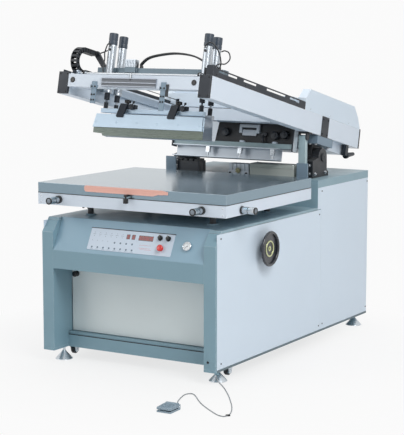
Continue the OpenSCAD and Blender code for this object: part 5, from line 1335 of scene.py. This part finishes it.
for side, x in (("left", -137), ("right", 137)):
    star = joined(lathe([(4, -14.7), (4, 0.5)], 16), lathe([(6, 0.3), (8, 0.6), (8, 8.4), (7, 9)], 24),
        knob_flutes(15, 8.2, 22.3, 6, 4.2, 84), moved(cap_head(4, 1.2), [0, 0, 22.1]))
    make(head, f"star_knob_{side}", f"star_{side}", moved(star, [x, ROW_Y, CARRIER_TOP]), "knob_black",
        f"star_knob_{side}")

# %% [markdown]
# ## Flood bar
# Behind the squeegee a thin steel bar spreads the ink on the return stroke. It is folded sheet under a
# cross bar on two piston rods, and a plate on each end keeps the ink in front of it.

# %% Flood bar
FLOOD_Y, FLOOD_Z = 266, 940
softened("flood_bar", 0.8, "flood", paint="flood_steel")
nuts = lathe([(8, 0), (8.6, 0.6), (8.6, 5.4), (8, 6)], 6)
on_flood("flood_nuts", mirrored(moved(nuts, [254, FLOOD_Y, FLOOD_Z + 19.8])), "steel", paint="ground_steel")
flood_sleeve = sleeve_tube(5.2, 10.6, FLOOD_Z + 20, 993)
on_flood("flood_sleeves", mirrored(moved(flood_sleeve, [254, FLOOD_Y, 0])), "trim_dark")
end_outline = [(FLOOD_Y - 34, FLOOD_Z - 8), (FLOOD_Y + 26, FLOOD_Z - 2), (FLOOD_Y + 4, BLADE_Z + 12),
    (FLOOD_Y - 18, BLADE_Z + 8)]
end_plate = prism(end_outline, HALF, HALF + 3, (2, 0, 1))
on_flood("flood_ends", mirrored(end_plate), "holder", paint="channel_satin")

# %% [markdown]
# ## Energy chain
# Hoses for the moving carriage lie in a chain of plastic links over the left arm. Each link is two side
# plates and a cross strip. The links follow a path of two straight runs joined by a half turn, one pitch
# apart.

# %% Energy chain
CHAIN_R, CHAIN_T, CHAIN_W, CHAIN_X, CHAIN_Y, CHAIN_Z, PITCH = 64, 23, 35, -372.5, 119, 1170, 19.5
CENTRE_R = CHAIN_R - CHAIN_T / 2
UPPER_RUN, HALF_TURN, LOWER_RUN = 96.7, np.pi * CENTRE_R, 387
count = int((UPPER_RUN + HALF_TURN + LOWER_RUN) / PITCH)
half = [(-0.62, -0.40), (-0.62, 0.40), (-0.45, 0.5), (0.45, 0.5), (0.62, 0.40), (0.62, -0.40), (0.45, -0.5),
    (-0.45, -0.5)]
plate = prism([(x * PITCH, z * CHAIN_T) for x, z in half], -1.6, 1.6, (0, 2, 1))
link = joined(moved(plate, [0, -CHAIN_W / 2 + 1.8, 0]), moved(plate, [0, CHAIN_W / 2 - 1.8, 0]),
    box(-5.5, 5.5, -CHAIN_W / 2 + 3, CHAIN_W / 2 - 3, CHAIN_T / 2 - 2.4, CHAIN_T / 2 - 0.3, 0.5),
    box(-5.5, 5.5, -CHAIN_W / 2 + 3, CHAIN_W / 2 - 3, -CHAIN_T / 2 + 0.3, -CHAIN_T / 2 + 2.4, 0.5))
ends = np.cumsum([0, UPPER_RUN, HALF_TURN, LOWER_RUN])
links = []
for s in PITCH * (np.arange(count) + 0.5):
    angle = np.interp(s, ends, [0, 0, np.pi, np.pi])
    middle = np.interp(s, ends, [CHAIN_Y + UPPER_RUN, CHAIN_Y, CHAIN_Y, CHAIN_Y + LOWER_RUN])
    at = [CHAIN_X, middle - CENTRE_R * math.sin(angle), CHAIN_Z + CENTRE_R * math.cos(angle)]
    links.append(placed(spun(link, "z"), at, "x", math.degrees(angle)))
make(head, "energy_chain", "chain_links", joined(*links), "chain", "energy_chain", paint="chain_black",
    sharp=35)
print("chain links:", count)
